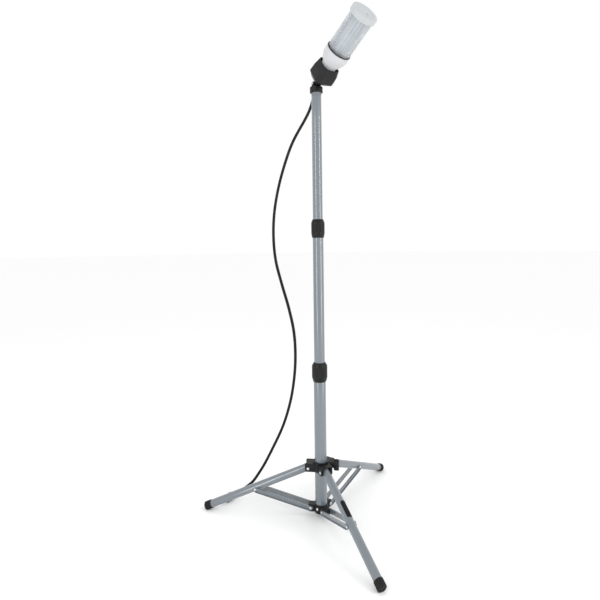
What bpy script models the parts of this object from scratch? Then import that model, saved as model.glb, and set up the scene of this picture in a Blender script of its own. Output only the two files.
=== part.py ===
"""LED work light: a tilting lamp head on a three-section telescoping mast and a folding tripod.

World frame: +Z up, the floor is z = 0. The mast axis is vertical at x = MAST_X, y = 0, and the
three feet stand on a circle around it, one of them towards -X. All sizes are in metres.
"""
import math

import bmesh
import bpy
from mathutils import Matrix, Vector

# ---------------------------------------------------------------- clearances and mesh fineness
GAP = 0.0003                 # between pieces that touch
RUNNING_GAP = 0.0004         # between pieces that move on each other
ROUND = 24                   # sides of the larger round pieces
SMALL_ROUND = 12             # sides of pins, rivets and bolts

# ---------------------------------------------------------------- tripod
FOOT_CIRCLE = 0.340          # radius of the circle of the foot centres
FOOT_CENTRING = 0.0014       # the blunt feet reach this much further towards +X
FOOT_HEIGHT = 0.011          # foot centre above the floor; the rest of the foot is worn flat
FOOT_WALL = 0.0012           # rubber over the leg tube
FOOT_SLEEVE = 0.0145         # straight part of the foot, over the leg tube
FOOT_END = 0.0065            # rubber past the foot centre
FOOT_ROUND = 0.0035          # radius of the foot's outer corner
LEG_R = 0.011
LEG_WALL = 0.0012
LEG_SWING_GAP = 0.0015       # between a leg's end and the upper hub's wall
LEG_PIVOT_Z = 0.140
LEG_STUB = 0.004             # leg tube past its pivot
LEG_END_GAP = 0.001          # leg tube short of the foot centre
LEG_AZIMUTHS = (180.0, 60.0, -60.0)
BRACE_REACH = 0.172          # along the leg, pivot to brace rivet
BRACE_DROP = 0.003           # brace rivet below the leg's axis
BRACE_WIDTH = 0.013
BRACE_DEPTH = 0.0045
BRACE_SHEET = 0.0012
BRACE_END = 0.0065           # brace past its rivet
LOWER_PIVOT_REACH = 0.0106   # brace pivot past the lower hub's wall
LOWER_PIVOT_Z = 0.025
RIVET_R = 0.0022
RIVET_HEAD_R = 0.0042
RIVET_HEAD_H = 0.0020

# ---------------------------------------------------------------- hubs on the lower tube
HUB_WALL = 0.0050            # hub body around the lower tube
HUB_BELOW = 0.009            # hub body below the leg pivot
HUB_RISE = 0.003             # hub body above the cheeks
CHEEK_THICKNESS = 0.0056
CHEEK_END = 0.009            # cheek past the leg pivot
CHEEK_RISE = 0.004           # cheek's upper edge above the leg tube's side
CHEEK_ROOF = 0.0026
CHEEK_LIFT = 0.0004          # keeps the joined plates' edges apart from the hub's
LOWER_HUB_WALL = 0.0019
LOWER_HUB_BOTTOM = 0.012
LOWER_HUB_TOP = 0.036
LOWER_ARM_GAP = 0.0006       # between an arm and the braces beside it
LOWER_ARM_END = 0.0075       # arm past the brace pivot
LOWER_ARM_HEIGHT = 0.020
HUB_RIVET_AZIMUTH = -120.0

# ---------------------------------------------------------------- clamp knob, on the hub towards +X
KNOB_ABOVE_PIVOT = 0.0075    # knob axis above the leg pivot
KNOB_R = 0.0150
KNOB_LOBE = 0.0015           # height of the lobes
KNOB_LOBES = 6
KNOB_STANDOFF = 0.0007       # knob neck clear of the boss
KNOB_THICKNESS = 0.0145
KNOB_NECK_R = 0.0090
KNOB_NECK = 0.0030
STUD_R = 0.0030
NUT_R = 0.0062
NUT_HEIGHT = 0.0055
BOSS_R = 0.0092
BOSS_REACH = 0.0123          # boss past the upper hub's wall
NUT_DEPTH = 0.0055           # clamp nut, from the lower tube

# ---------------------------------------------------------------- mast
LOWER_TUBE_R = 0.0175
LOWER_TUBE_WALL = 0.0013
MID_TUBE_CLEARANCE = 0.0007  # middle tube in the lower tube
LOWER_TUBE_BOTTOM = 0.016
LOWER_TUBE_LENGTH = 0.410
MID_TUBE_WALL = 0.0009
TOP_TUBE_CLEARANCE = 0.0003  # top tube in the middle tube
MID_TUBE_INSERTED = 0.076    # below the lower tube's top
MID_TUBE_LENGTH = 0.489
TOP_TUBE_WALL = 0.0009
TOP_TUBE_INSERTED = 0.084
TOP_TUBE_LENGTH = 0.4577
GUIDE_FLANGE = 0.006
GUIDE_STEM = 0.012
GUIDE_WALL = 0.0015

# ---------------------------------------------------------------- twist-lock collars
LOWER_COLLAR_GRIP = 0.00475  # collar past the tube it sits on
LOWER_COLLAR_HEIGHT = 0.055
UPPER_COLLAR_GRIP = 0.00385
UPPER_COLLAR_HEIGHT = 0.053
COLLAR_OVER_TUBE = 0.017     # collar top above the top of the tube it sits on
COLLAR_WALL = 0.0020
COLLAR_EDGE = 0.0012         # thickness of the collar's ends
COLLAR_TOP_LIP = 0.0085      # inner lip above the ferrule
COLLAR_FOOT_LIP = 0.0100     # inner lip below the ferrule
COLLAR_TOP_TAPER = 0.0095
COLLAR_FOOT_TAPER = 0.0115

# ---------------------------------------------------------------- mast cap and cord gland
BUSHING_HEIGHT = 0.009
BUSHING_STEM = 0.018
BUSHING_STEM_WALL = 0.0030
CAP_OVERHANG = 0.00445       # cap past the top tube
CAP_RIM = 0.0015             # chamfer of the cap's upper rim
CAP_HEIGHT = 0.0165
CAP_BORE_DEPTH = 0.0115
TILT_ABOVE_CAP = 0.0085
TONGUE_HALF = 0.0065
TONGUE_R = 0.0060
EAR_THICKNESS = 0.0055
EAR_R = 0.0062
TILT_BOLT_R = 0.0022
TILT_HEAD_R = 0.0042
TILT_HEAD_H = 0.0022
TILT_NUT_R = 0.0046
TILT_NUT_H = 0.0055
GLAND_AZIMUTH = 104.0
GLAND_RISE = 0.0087          # gland axis above the cap's lower end
GLAND_NUT_R = 0.0085
GLAND_NUT_LENGTH = 0.007
GLAND_TAPER = 0.021
GLAND_TIP_WALL = 0.0013      # rubber around the cord at the gland's tip
GLAND_FLARE = 0.0012         # gland wider at its nut than at its tip

# ---------------------------------------------------------------- lamp head
HEAD_AZIMUTH = -45.2         # direction in which the lamp leans
HEAD_TILT = 57.7             # lamp axis from the vertical
HOUSING_WALL = 0.0026
HOUSING_FLOOR = 0.021        # solid root of the housing, from the tilt axis
HOUSING_MOUTH = 0.072
# distance along the lamp axis, half width, half depth, offset towards the underside
HOUSING_SECTIONS = (
    (0.0075, 0.0105, 0.0120, -0.0005),
    (0.0150, 0.0195, 0.0215, 0.0000),
    (0.0290, 0.0315, 0.0330, 0.0018),
    (0.0520, 0.0315, 0.0315, 0.0015),
    (HOUSING_MOUTH, 0.0275, 0.0270, 0.0000),
)
HOUSING_CHAMFER = 0.36       # share of each half width that the corner chamfer takes
HOUSING_SCREW_T = 0.0150
HOUSING_SCREW_X = 0.0105
HOUSING_SCREW_HALF = 0.0170
HOUSING_SCREW_R = 0.0016
HOUSING_SCREW_HEAD_R = 0.0032
HOUSING_SCREW_HEAD_H = 0.0020
HOLDER_BOTTOM = 0.034
HOLDER_TOP = 0.064
HOLDER_WALL = 0.0050
HOLDER_FLANGE = 0.004
SHELL_R = 0.0130             # lamp base, outer radius of its thread shell
SHELL_WALL = 0.0008
SHELL_BOTTOM = 0.042
SHELL_TOP = 0.066
CONTACT_SHELL_WALL = 0.0006
NECK_BOTTOM = 0.0665
FLARE_START = 0.0080         # flare above the neck's lower end
FLARE_END = 0.0140           # straight band below the neck's upper end
FLARE_STEPS = 6
NECK_TOP = 0.122
NECK_CLEARANCE = 0.0014      # neck in the housing's mouth
NECK_OVERHANG = 0.0025       # neck's upper end past the cover
NECK_WALL = 0.0025
GASKET_HEIGHT = 0.0022
GASKET_OVERHANG = 0.0018     # gasket past the cover, outwards
GASKET_UNDERLAP = 0.0040     # and inwards
COVER_R = 0.0340
COVER_WALL = 0.0018
COVER_TOP = 0.237
CORE_CLEARANCE = 0.0087      # carrier's corners inside the cover
CORE_WALL = 0.0022
CORE_TOP = 0.232
END_CAP_OVERHANG = 0.00375   # end cap past the cover
END_CAP_HEIGHT = 0.0105
END_CAP_WALL = 0.0024
END_CAP_SKIRT = 0.0045       # end cap over the cover's end
END_CAP_EDGE = 0.0018        # chamfer of the end cap's rim
END_SCREW_X = 0.0115
END_SCREW_R = 0.0012
END_SCREW_HEAD_R = 0.0022
END_SCREW_HEAD_H = 0.0008
END_SCREW_TIP = 0.0030       # screw below the end cap's wall
BOARD_HALF_WIDTH = 0.0170
BOARD_LENGTH = 0.034
BOARD_THICKNESS = 0.0016

# ---------------------------------------------------------------- cord and plug
CORD_R = 0.0045
CORD_STEP = 0.022
CORD_SPLIT = 12              # route point at which the upper cord ends
# the route, chosen by hand: out of the gland, down beside the mast, along the floor
CORD_ROUTE = (
    (0.0721, 0.0461, 1.231),
    (0.0682, 0.0627, 1.231),
    (0.063, 0.081, 1.226),
    (0.056, 0.093, 1.212),
    (0.046, 0.101, 1.192),
    (0.033, 0.107, 1.171),
    (-0.009, 0.122, 1.105),
    (-0.041, 0.138, 1.030),
    (-0.064, 0.149, 0.955),
    (-0.076, 0.146, 0.879),
    (-0.075, 0.128, 0.804),
    (-0.062, 0.097, 0.733),
    (-0.039, 0.069, 0.665),
    (-0.016, 0.055, 0.595),
    (-0.002, 0.062, 0.522),
    (-0.002, 0.088, 0.443),
    (-0.013, 0.123, 0.358),
    (-0.033, 0.155, 0.270),
    (-0.062, 0.174, 0.185),
    (-0.100, 0.174, 0.106),
    (-0.123, 0.166, 0.063),
    (-0.142, 0.155, 0.034),
    (-0.156, 0.144, 0.0165),
    (-0.170, 0.129, 0.0080),
    (-0.182, 0.110, 0.0052),
    (-0.192, 0.090, 0.0062),
)
PLUG_LENGTH = 0.036
PLUG_WIDTH = 0.024
PLUG_THICKNESS = 0.015
PLUG_TAIL = 0.018
PLUG_TAIL_R = 0.0058
BLADE_LENGTH = 0.016
BLADE_WIDTH = 0.0063
BLADE_THICKNESS = 0.0015
BLADE_SPACING = 0.0127

# ---------------------------------------------------------------- places worked out from the sizes
MAST_X = FOOT_CIRCLE / 4 - FOOT_CENTRING  # centres the feet on the origin
MID_TUBE_R = LOWER_TUBE_R - LOWER_TUBE_WALL - MID_TUBE_CLEARANCE
TOP_TUBE_R = MID_TUBE_R - MID_TUBE_WALL - TOP_TUBE_CLEARANCE
FOOT_R = LEG_R + FOOT_WALL
HUB_R = LOWER_TUBE_R + HUB_WALL
LEG_PIVOT_R = HUB_R + LEG_R + LEG_SWING_GAP
LOWER_HUB_R = LOWER_TUBE_R + LOWER_HUB_WALL
LOWER_PIVOT_R = LOWER_HUB_R + LOWER_PIVOT_REACH
BRACE_SIDE = LEG_R + RUNNING_GAP     # inner face of a brace, from the leg's middle plane
LOWER_ARM_HALF = BRACE_SIDE - LOWER_ARM_GAP
BOSS_END = HUB_R + BOSS_REACH
KNOB_START = BOSS_END + KNOB_STANDOFF + KNOB_NECK
CAP_R = TOP_TUBE_R + CAP_OVERHANG
LEG_SLOPE = math.atan2(LEG_PIVOT_Z - FOOT_HEIGHT, FOOT_CIRCLE - LEG_PIVOT_R)
LEG_LENGTH = math.hypot(LEG_PIVOT_Z - FOOT_HEIGHT, FOOT_CIRCLE - LEG_PIVOT_R)
BRACE_TOP_R = LEG_PIVOT_R + BRACE_REACH * math.cos(LEG_SLOPE) - BRACE_DROP * math.sin(LEG_SLOPE)
BRACE_TOP_Z = LEG_PIVOT_Z - BRACE_REACH * math.sin(LEG_SLOPE) - BRACE_DROP * math.cos(LEG_SLOPE)
BRACE_LENGTH = math.hypot(BRACE_TOP_R - LOWER_PIVOT_R, BRACE_TOP_Z - LOWER_PIVOT_Z)
BRACE_SLOPE = math.atan2(BRACE_TOP_Z - LOWER_PIVOT_Z, BRACE_TOP_R - LOWER_PIVOT_R)
CHEEK_INNER = LEG_R + RUNNING_GAP
CHEEK_ABOVE = LEG_R + CHEEK_RISE
HUB_ABOVE = CHEEK_ABOVE + HUB_RISE
CHEEK_OUTER = CHEEK_INNER + CHEEK_THICKNESS
HUB_BORE_R = LOWER_TUBE_R + RUNNING_GAP
LOWER_TUBE_TOP = LOWER_TUBE_BOTTOM + LOWER_TUBE_LENGTH
MID_TUBE_BOTTOM = LOWER_TUBE_TOP - MID_TUBE_INSERTED
MID_TUBE_TOP = MID_TUBE_BOTTOM + MID_TUBE_LENGTH
TOP_TUBE_BOTTOM = MID_TUBE_TOP - TOP_TUBE_INSERTED
TOP_TUBE_TOP = TOP_TUBE_BOTTOM + TOP_TUBE_LENGTH
BUSHING_BOTTOM = TOP_TUBE_TOP + GAP
CAP_BOTTOM = BUSHING_BOTTOM + BUSHING_HEIGHT + GAP
CAP_TOP = CAP_BOTTOM + CAP_HEIGHT
TILT_Z = CAP_TOP + TILT_ABOVE_CAP
EAR_INNER = TONGUE_HALF + GAP
EAR_OUTER = EAR_INNER + EAR_THICKNESS
GLAND_Z = CAP_BOTTOM + GLAND_RISE
GLAND_TIP_R = CORD_R + GLAND_TIP_WALL
HOLDER_FLANGE_R = (HOUSING_SECTIONS[2][1] - HOUSING_WALL - HOUSING_SECTIONS[2][3]
                   - 2 * GAP)
HOLDER_BORE_R = SHELL_R + CONTACT_SHELL_WALL + 3 * GAP
HOLDER_R = HOLDER_BORE_R + HOLDER_WALL
NECK_BOTTOM_R = HOUSING_SECTIONS[-1][2] - HOUSING_WALL - NECK_CLEARANCE
NECK_TOP_R = COVER_R + NECK_OVERHANG
GASKET_OUTER_R = COVER_R + GASKET_OVERHANG
GASKET_INNER_R = COVER_R - GASKET_UNDERLAP
END_CAP_R = COVER_R + END_CAP_OVERHANG
CORE_R = COVER_R - COVER_WALL - CORE_CLEARANCE


def make_material(name, color, roughness, metallic=0.0):
    """A Principled material; color is linear RGB."""
    material = bpy.data.materials.new(name)
    material.use_nodes = True
    shader = material.node_tree.nodes["Principled BSDF"]
    shader.inputs["Base Color"].default_value = (*color, 1.0)
    shader.inputs["Roughness"].default_value = roughness
    shader.inputs["Metallic"].default_value = metallic
    material.diffuse_color = (*color, 1.0)
    return material


def clear_scene():
    for obj in list(bpy.data.objects):
        bpy.data.objects.remove(obj, do_unlink=True)


def make_frame(name, parent, location, rotation=(0.0, 0.0, 0.0)):
    """An empty that carries the pieces of one moving body."""
    frame = bpy.data.objects.new(name, None)
    frame.empty_display_size = 0.03
    cutters.objects.link(frame)
    frame.parent = parent
    frame.location = location
    frame.rotation_euler = rotation
    return frame


def add_piece(name, mesh, material, parent, location=(0.0, 0.0, 0.0), rotation=(0.0, 0.0, 0.0)):
    obj = bpy.data.objects.new(name, mesh)
    parts.objects.link(obj)
    mesh.materials.append(material)
    obj.parent = parent
    obj.location = location
    obj.rotation_euler = rotation
    return obj


def smooth(mesh):
    mesh.shade_smooth()
    mesh.set_sharp_from_angle(angle=math.radians(35.0))


def cylinder_mesh(name, radius, start, end, axis="Z", sides=ROUND):
    """A cylinder between two places on an axis through the origin."""
    bm = bmesh.new()
    bmesh.ops.create_cone(bm, cap_ends=True, segments=sides, radius1=radius, radius2=radius,
                          depth=end - start)
    bmesh.ops.translate(bm, verts=bm.verts, vec=(0.0, 0.0, (start + end) / 2))
    turn = {"X": Matrix.Rotation(math.pi / 2, 3, "Y"),
            "Y": Matrix.Rotation(-math.pi / 2, 3, "X"),
            "Z": Matrix.Identity(3)}[axis]
    bmesh.ops.rotate(bm, verts=bm.verts, cent=(0.0, 0.0, 0.0), matrix=turn)
    mesh = bpy.data.meshes.new(name)
    bm.to_mesh(mesh)
    bm.free()
    smooth(mesh)
    return mesh


def box_mesh(name, low, high):
    bm = bmesh.new()
    bmesh.ops.create_cube(bm, size=1.0)
    size = Vector(high) - Vector(low)
    bmesh.ops.scale(bm, verts=bm.verts, vec=size)
    bmesh.ops.translate(bm, verts=bm.verts, vec=(Vector(high) + Vector(low)) / 2)
    mesh = bpy.data.meshes.new(name)
    bm.to_mesh(mesh)
    bm.free()
    return mesh


def turned(name, profile, material, parent, closed=True, sides=ROUND, **place):
    """Turn a profile of (radius, height) around Z; it runs down the outer side."""
    mesh = bpy.data.meshes.new(name)
    count = len(profile)
    edges = [(i, i + 1) for i in range(count - 1)]
    if closed:
        edges.append((count - 1, 0))
    mesh.from_pydata([(radius, 0.0, height) for radius, height in profile], edges, [])
    obj = add_piece(name, mesh, material, parent, **place)
    screw = obj.modifiers.new("turn", "SCREW")
    screw.steps = sides
    screw.render_steps = sides
    screw.use_merge_vertices = True
    screw.merge_threshold = 0.00001
    screw.use_smooth_shade = False
    return obj


def ring_profile(outer, inner, bottom, top):
    return [(outer, top), (outer, bottom), (inner, bottom), (inner, top)]


def guide_mesh(name, mesh, parent, location=(0.0, 0.0, 0.0), rotation=(0.0, 0.0, 0.0)):
    """A hidden solid that a Boolean modifier cuts away or joins on."""
    obj = bpy.data.objects.new(name, mesh)
    cutters.objects.link(obj)
    obj.parent = parent
    obj.location = location
    obj.rotation_euler = rotation
    obj.hide_render = True
    obj.display_type = "WIRE"
    return obj


def boolean(obj, operand, operation):
    modifier = obj.modifiers.new(operand.name, "BOOLEAN")
    modifier.operation = operation
    modifier.solver = "EXACT"
    modifier.object = operand


def cut(obj, mesh, parent, **place):
    boolean(obj, guide_mesh(mesh.name, mesh, parent, **place), "DIFFERENCE")


def join(obj, mesh, parent, **place):
    boolean(obj, guide_mesh(mesh.name, mesh, parent, **place), "UNION")


def prism_mesh(name, outline, half_depth):
    """A flat outline in XY, extruded both ways along Z."""
    curve = bpy.data.curves.new(name, "CURVE")
    curve.dimensions = "2D"
    curve.fill_mode = "BOTH"
    curve.extrude = half_depth
    spline = curve.splines.new("POLY")
    spline.points.add(len(outline) - 1)
    for point, (x, y) in zip(spline.points, outline):
        point.co = (x, y, 0.0, 1.0)
    spline.use_cyclic_u = True
    holder = bpy.data.objects.new(name, curve)
    cutters.objects.link(holder)
    mesh = bpy.data.meshes.new_from_object(holder.evaluated_get(bpy.context.evaluated_depsgraph_get()))
    bpy.data.objects.remove(holder)
    bm = bmesh.new()
    bm.from_mesh(mesh)
    bmesh.ops.remove_doubles(bm, verts=bm.verts, dist=0.000001)
    bmesh.ops.recalc_face_normals(bm, faces=bm.faces)
    bm.to_mesh(mesh)
    bm.free()
    mesh.name = name
    return mesh


def arc(center, radius, start, end, count):
    """Points on an arc, angles in degrees."""
    angles = [math.radians(start + (end - start) * i / count) for i in range(count + 1)]
    return [(center[0] + radius * math.cos(a), center[1] + radius * math.sin(a)) for a in angles]


# ================================================================ mast tubes and collars

def build_tube(name, radius, wall, bottom, length, body):
    turned(name, ring_profile(radius, radius - wall, bottom, bottom + length),
           grey_powder_coat, body)


def build_tube_guide(name, tube_r, tube_wall, outer_tube_inner_r, tube_bottom, body):
    """The plastic plug in a tube's lower end; its flange slides in the next tube."""
    flange_r = outer_tube_inner_r - GAP
    stem_r = tube_r - tube_wall - GAP
    top = tube_bottom + GUIDE_STEM
    seat = tube_bottom - GAP
    bottom = seat - GUIDE_FLANGE
    inner = stem_r - GUIDE_WALL
    profile = [(stem_r, top), (stem_r, seat), (flange_r, seat), (flange_r, bottom),
               (inner, bottom), (inner, top)]
    turned(name, profile, black_plastic, body)


def build_twist_lock(label, grip, height, tube_r, tube_top, next_tube_r, fixed_body, collar_body):
    """A ferrule fixed on the tube's end, inside the tapered collar that turns on it."""
    outer_r = tube_r + grip
    top = tube_top + COLLAR_OVER_TUBE
    bottom = top - height
    inner_r = outer_r - COLLAR_WALL
    throat = next_tube_r + RUNNING_GAP
    sleeve = tube_r + RUNNING_GAP
    lip_bottom = top - COLLAR_TOP_LIP
    lip_top = bottom + COLLAR_FOOT_LIP
    ferrule = [(inner_r - RUNNING_GAP, lip_bottom - GAP), (inner_r - RUNNING_GAP, lip_top + GAP),
               (tube_r + GAP, lip_top + GAP), (tube_r + GAP, tube_top + GAP),
               (throat, tube_top + GAP), (throat, lip_bottom - GAP)]
    turned(label + "_ferrule", ferrule, black_plastic, fixed_body)
    collar = [(throat + COLLAR_EDGE, top), (outer_r, top - COLLAR_TOP_TAPER),
              (outer_r, bottom + COLLAR_FOOT_TAPER), (sleeve + COLLAR_EDGE, bottom),
              (sleeve, bottom), (sleeve, lip_top), (inner_r, lip_top), (inner_r, lip_bottom),
              (throat, lip_bottom), (throat, top)]
    turned(label + "_collar", collar, black_plastic, collar_body)


def build_mast():
    build_tube("lower_tube", LOWER_TUBE_R, LOWER_TUBE_WALL, LOWER_TUBE_BOTTOM,
               LOWER_TUBE_LENGTH, root)
    build_tube("middle_tube", MID_TUBE_R, MID_TUBE_WALL, MID_TUBE_BOTTOM, MID_TUBE_LENGTH, mid_body)
    build_tube("top_tube", TOP_TUBE_R, TOP_TUBE_WALL, TOP_TUBE_BOTTOM, TOP_TUBE_LENGTH, top_body)
    build_tube_guide("middle_tube_guide", MID_TUBE_R, MID_TUBE_WALL,
                     LOWER_TUBE_R - LOWER_TUBE_WALL, MID_TUBE_BOTTOM, mid_body)
    build_tube_guide("top_tube_guide", TOP_TUBE_R, TOP_TUBE_WALL,
                     MID_TUBE_R - MID_TUBE_WALL, TOP_TUBE_BOTTOM, top_body)
    build_twist_lock("lower", LOWER_COLLAR_GRIP, LOWER_COLLAR_HEIGHT, LOWER_TUBE_R,
                     LOWER_TUBE_TOP, MID_TUBE_R, root, lower_collar_body)
    build_twist_lock("upper", UPPER_COLLAR_GRIP, UPPER_COLLAR_HEIGHT, MID_TUBE_R,
                     MID_TUBE_TOP, TOP_TUBE_R, mid_body, upper_collar_body)


# ================================================================ mast cap

def build_cap():
    """The grey bushing on the top tube, the black cap on it with its two ears, and the gland."""
    stem_r = TOP_TUBE_R - TOP_TUBE_WALL - GAP
    inner = stem_r - BUSHING_STEM_WALL
    bushing_top = BUSHING_BOTTOM + BUSHING_HEIGHT
    stem_top = bushing_top + CAP_BORE_DEPTH - GAP
    profile = [(stem_r, stem_top), (stem_r, bushing_top), (TOP_TUBE_R, bushing_top),
               (TOP_TUBE_R, BUSHING_BOTTOM), (stem_r, BUSHING_BOTTOM),
               (stem_r, BUSHING_BOTTOM - BUSHING_STEM), (inner, BUSHING_BOTTOM - BUSHING_STEM),
               (inner, stem_top)]
    turned("cap_bushing", profile, grey_plastic, top_body)

    bore_r = stem_r + GAP
    bore_top = CAP_BOTTOM + CAP_BORE_DEPTH
    profile = [(0.0, CAP_TOP), (CAP_R - CAP_RIM, CAP_TOP), (CAP_R, CAP_TOP - CAP_RIM),
               (CAP_R, CAP_BOTTOM), (bore_r, CAP_BOTTOM), (bore_r, bore_top), (0.0, bore_top)]
    cap = turned("mast_cap", profile, black_plastic, top_body, closed=False)
    ear_outline = arc((0.0, 0.0), EAR_R, 0.0, 180.0, 10)
    foot = TILT_ABOVE_CAP + CAP_RIM
    ear_outline += [(-EAR_R, -foot), (EAR_R, -foot)]
    middle = (EAR_INNER + EAR_OUTER) / 2
    for label, side in (("cap_ear_a", 1.0), ("cap_ear_b", -1.0)):
        join(cap, prism_mesh(label, ear_outline, EAR_THICKNESS / 2), knuckle_frame,
             location=(0.0, side * middle, 0.0), rotation=(math.pi / 2, 0.0, 0.0))
    cut(cap, cylinder_mesh("cap_bolt_hole", TILT_BOLT_R + GAP, -EAR_OUTER - 0.002,
                           EAR_OUTER + 0.002, "Y", SMALL_ROUND), knuckle_frame)

    # the gland screws on a spigot of the cap; the cord leaves its tapered end
    start = CAP_R + GAP
    flange_end = start + GLAND_NUT_LENGTH
    tip = flange_end + GLAND_TAPER
    profile = [(0.0, tip), (GLAND_TIP_R, tip), (GLAND_TIP_R + GLAND_FLARE, flange_end),
               (GLAND_NUT_R, flange_end), (GLAND_NUT_R, start), (0.0, start)]
    azimuth = math.radians(GLAND_AZIMUTH)
    turned("cord_gland", profile, black_rubber, top_body, closed=False, sides=SMALL_ROUND,
           location=(0.0, 0.0, GLAND_Z), rotation=(0.0, math.pi / 2, azimuth))


# ================================================================ lower hub

def build_lower_hub():
    """The fixed hub: a cup on the lower tube's end with an arm to each pair of braces."""
    bore = LOWER_TUBE_R + GAP
    floor = LOWER_TUBE_BOTTOM - GAP
    profile = [(0.0, LOWER_HUB_TOP), (LOWER_HUB_R, LOWER_HUB_TOP),
               (LOWER_HUB_R, LOWER_HUB_BOTTOM), (0.0, LOWER_HUB_BOTTOM)]
    hub = turned("lower_hub", profile, black_plastic, root, closed=False)
    half_height = LOWER_ARM_HEIGHT / 2
    round_r = 0.005
    end = LOWER_PIVOT_R + LOWER_ARM_END
    outline = [(LOWER_HUB_R / 2, half_height)]
    outline += arc((end - round_r, half_height - round_r), round_r, 90.0, 0.0, 4)
    outline += arc((end - round_r, round_r - half_height), round_r, 0.0, -90.0, 4)
    outline += [(LOWER_HUB_R / 2, -half_height)]
    for index, azimuth in enumerate(LEG_AZIMUTHS, 1):
        turn = math.radians(azimuth)
        join(hub, prism_mesh(f"lower_arm_{index}", outline, LOWER_ARM_HALF), root,
             location=(0.0, 0.0, LOWER_PIVOT_Z), rotation=(math.pi / 2, 0.0, turn))
    cut(hub, cylinder_mesh("lower_hub_bore", bore, floor, LOWER_HUB_TOP + 0.01), root)
    for index, azimuth in enumerate(LEG_AZIMUTHS, 1):
        turn = math.radians(azimuth)
        place = (LOWER_PIVOT_R * math.cos(turn), LOWER_PIVOT_R * math.sin(turn), LOWER_PIVOT_Z)
        cut(hub, cylinder_mesh(f"lower_arm_hole_{index}", RIVET_R + GAP, -LOWER_ARM_HALF - 0.001,
                               LOWER_ARM_HALF + 0.001, "Y", SMALL_ROUND), root,
            location=place, rotation=(0.0, 0.0, turn))
        pin = cylinder_mesh(f"lower_brace_pin_{index}", RIVET_R, -LOWER_ARM_HALF, LOWER_ARM_HALF,
                            "Y", SMALL_ROUND)
        add_piece(f"lower_brace_pin_{index}", pin, bright_steel, root, location=place,
                  rotation=(0.0, 0.0, turn))

    # one rivet holds the hub to the tube
    turn = math.radians(HUB_RIVET_AZIMUTH)
    hole_args = (RIVET_R + GAP, LOWER_TUBE_R - 0.004, LOWER_HUB_R + 0.004, "X", SMALL_ROUND)
    for obj, label in ((hub, "hub_rivet_hole_hub"),
                       (bpy.data.objects["lower_tube"], "hub_rivet_hole_tube")):
        cut(obj, cylinder_mesh(label, *hole_args), root, location=(0.0, 0.0, LOWER_PIVOT_Z),
            rotation=(0.0, 0.0, turn))
    shank_start = LOWER_TUBE_R - LOWER_TUBE_WALL + 0.0001
    profile = rivet_profile(shank_start, LOWER_HUB_R + GAP)
    turned("hub_rivet", profile, bright_steel, root, closed=False, sides=SMALL_ROUND,
           location=(0.0, 0.0, LOWER_PIVOT_Z), rotation=(0.0, math.pi / 2, turn))


def rivet_profile(shank_start, head_start):
    """A rivet with one domed head, along +Z."""
    head_end = head_start + RIVET_HEAD_H
    return [(0.0, head_end), (RIVET_HEAD_R * 0.55, head_end - 0.0003),
            (RIVET_HEAD_R * 0.9, head_end - 0.0010), (RIVET_HEAD_R, head_start),
            (RIVET_R, head_start), (RIVET_R, shank_start), (0.0, shank_start)]


def double_rivet(name, half_grip, body):
    """A rivet along Y with a domed head on each side of what it holds."""
    start = half_grip + GAP
    top = [(0.0, start + RIVET_HEAD_H), (RIVET_HEAD_R * 0.55, start + RIVET_HEAD_H - 0.0003),
           (RIVET_HEAD_R * 0.9, start + RIVET_HEAD_H - 0.0010), (RIVET_HEAD_R, start),
           (RIVET_R, start)]
    bottom = [(radius, -height) for radius, height in reversed(top)]
    return turned(name, top + bottom, bright_steel, body, closed=False, sides=SMALL_ROUND,
                  rotation=(math.pi / 2, 0.0, 0.0))


# ================================================================ sliding hub and knob

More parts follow.
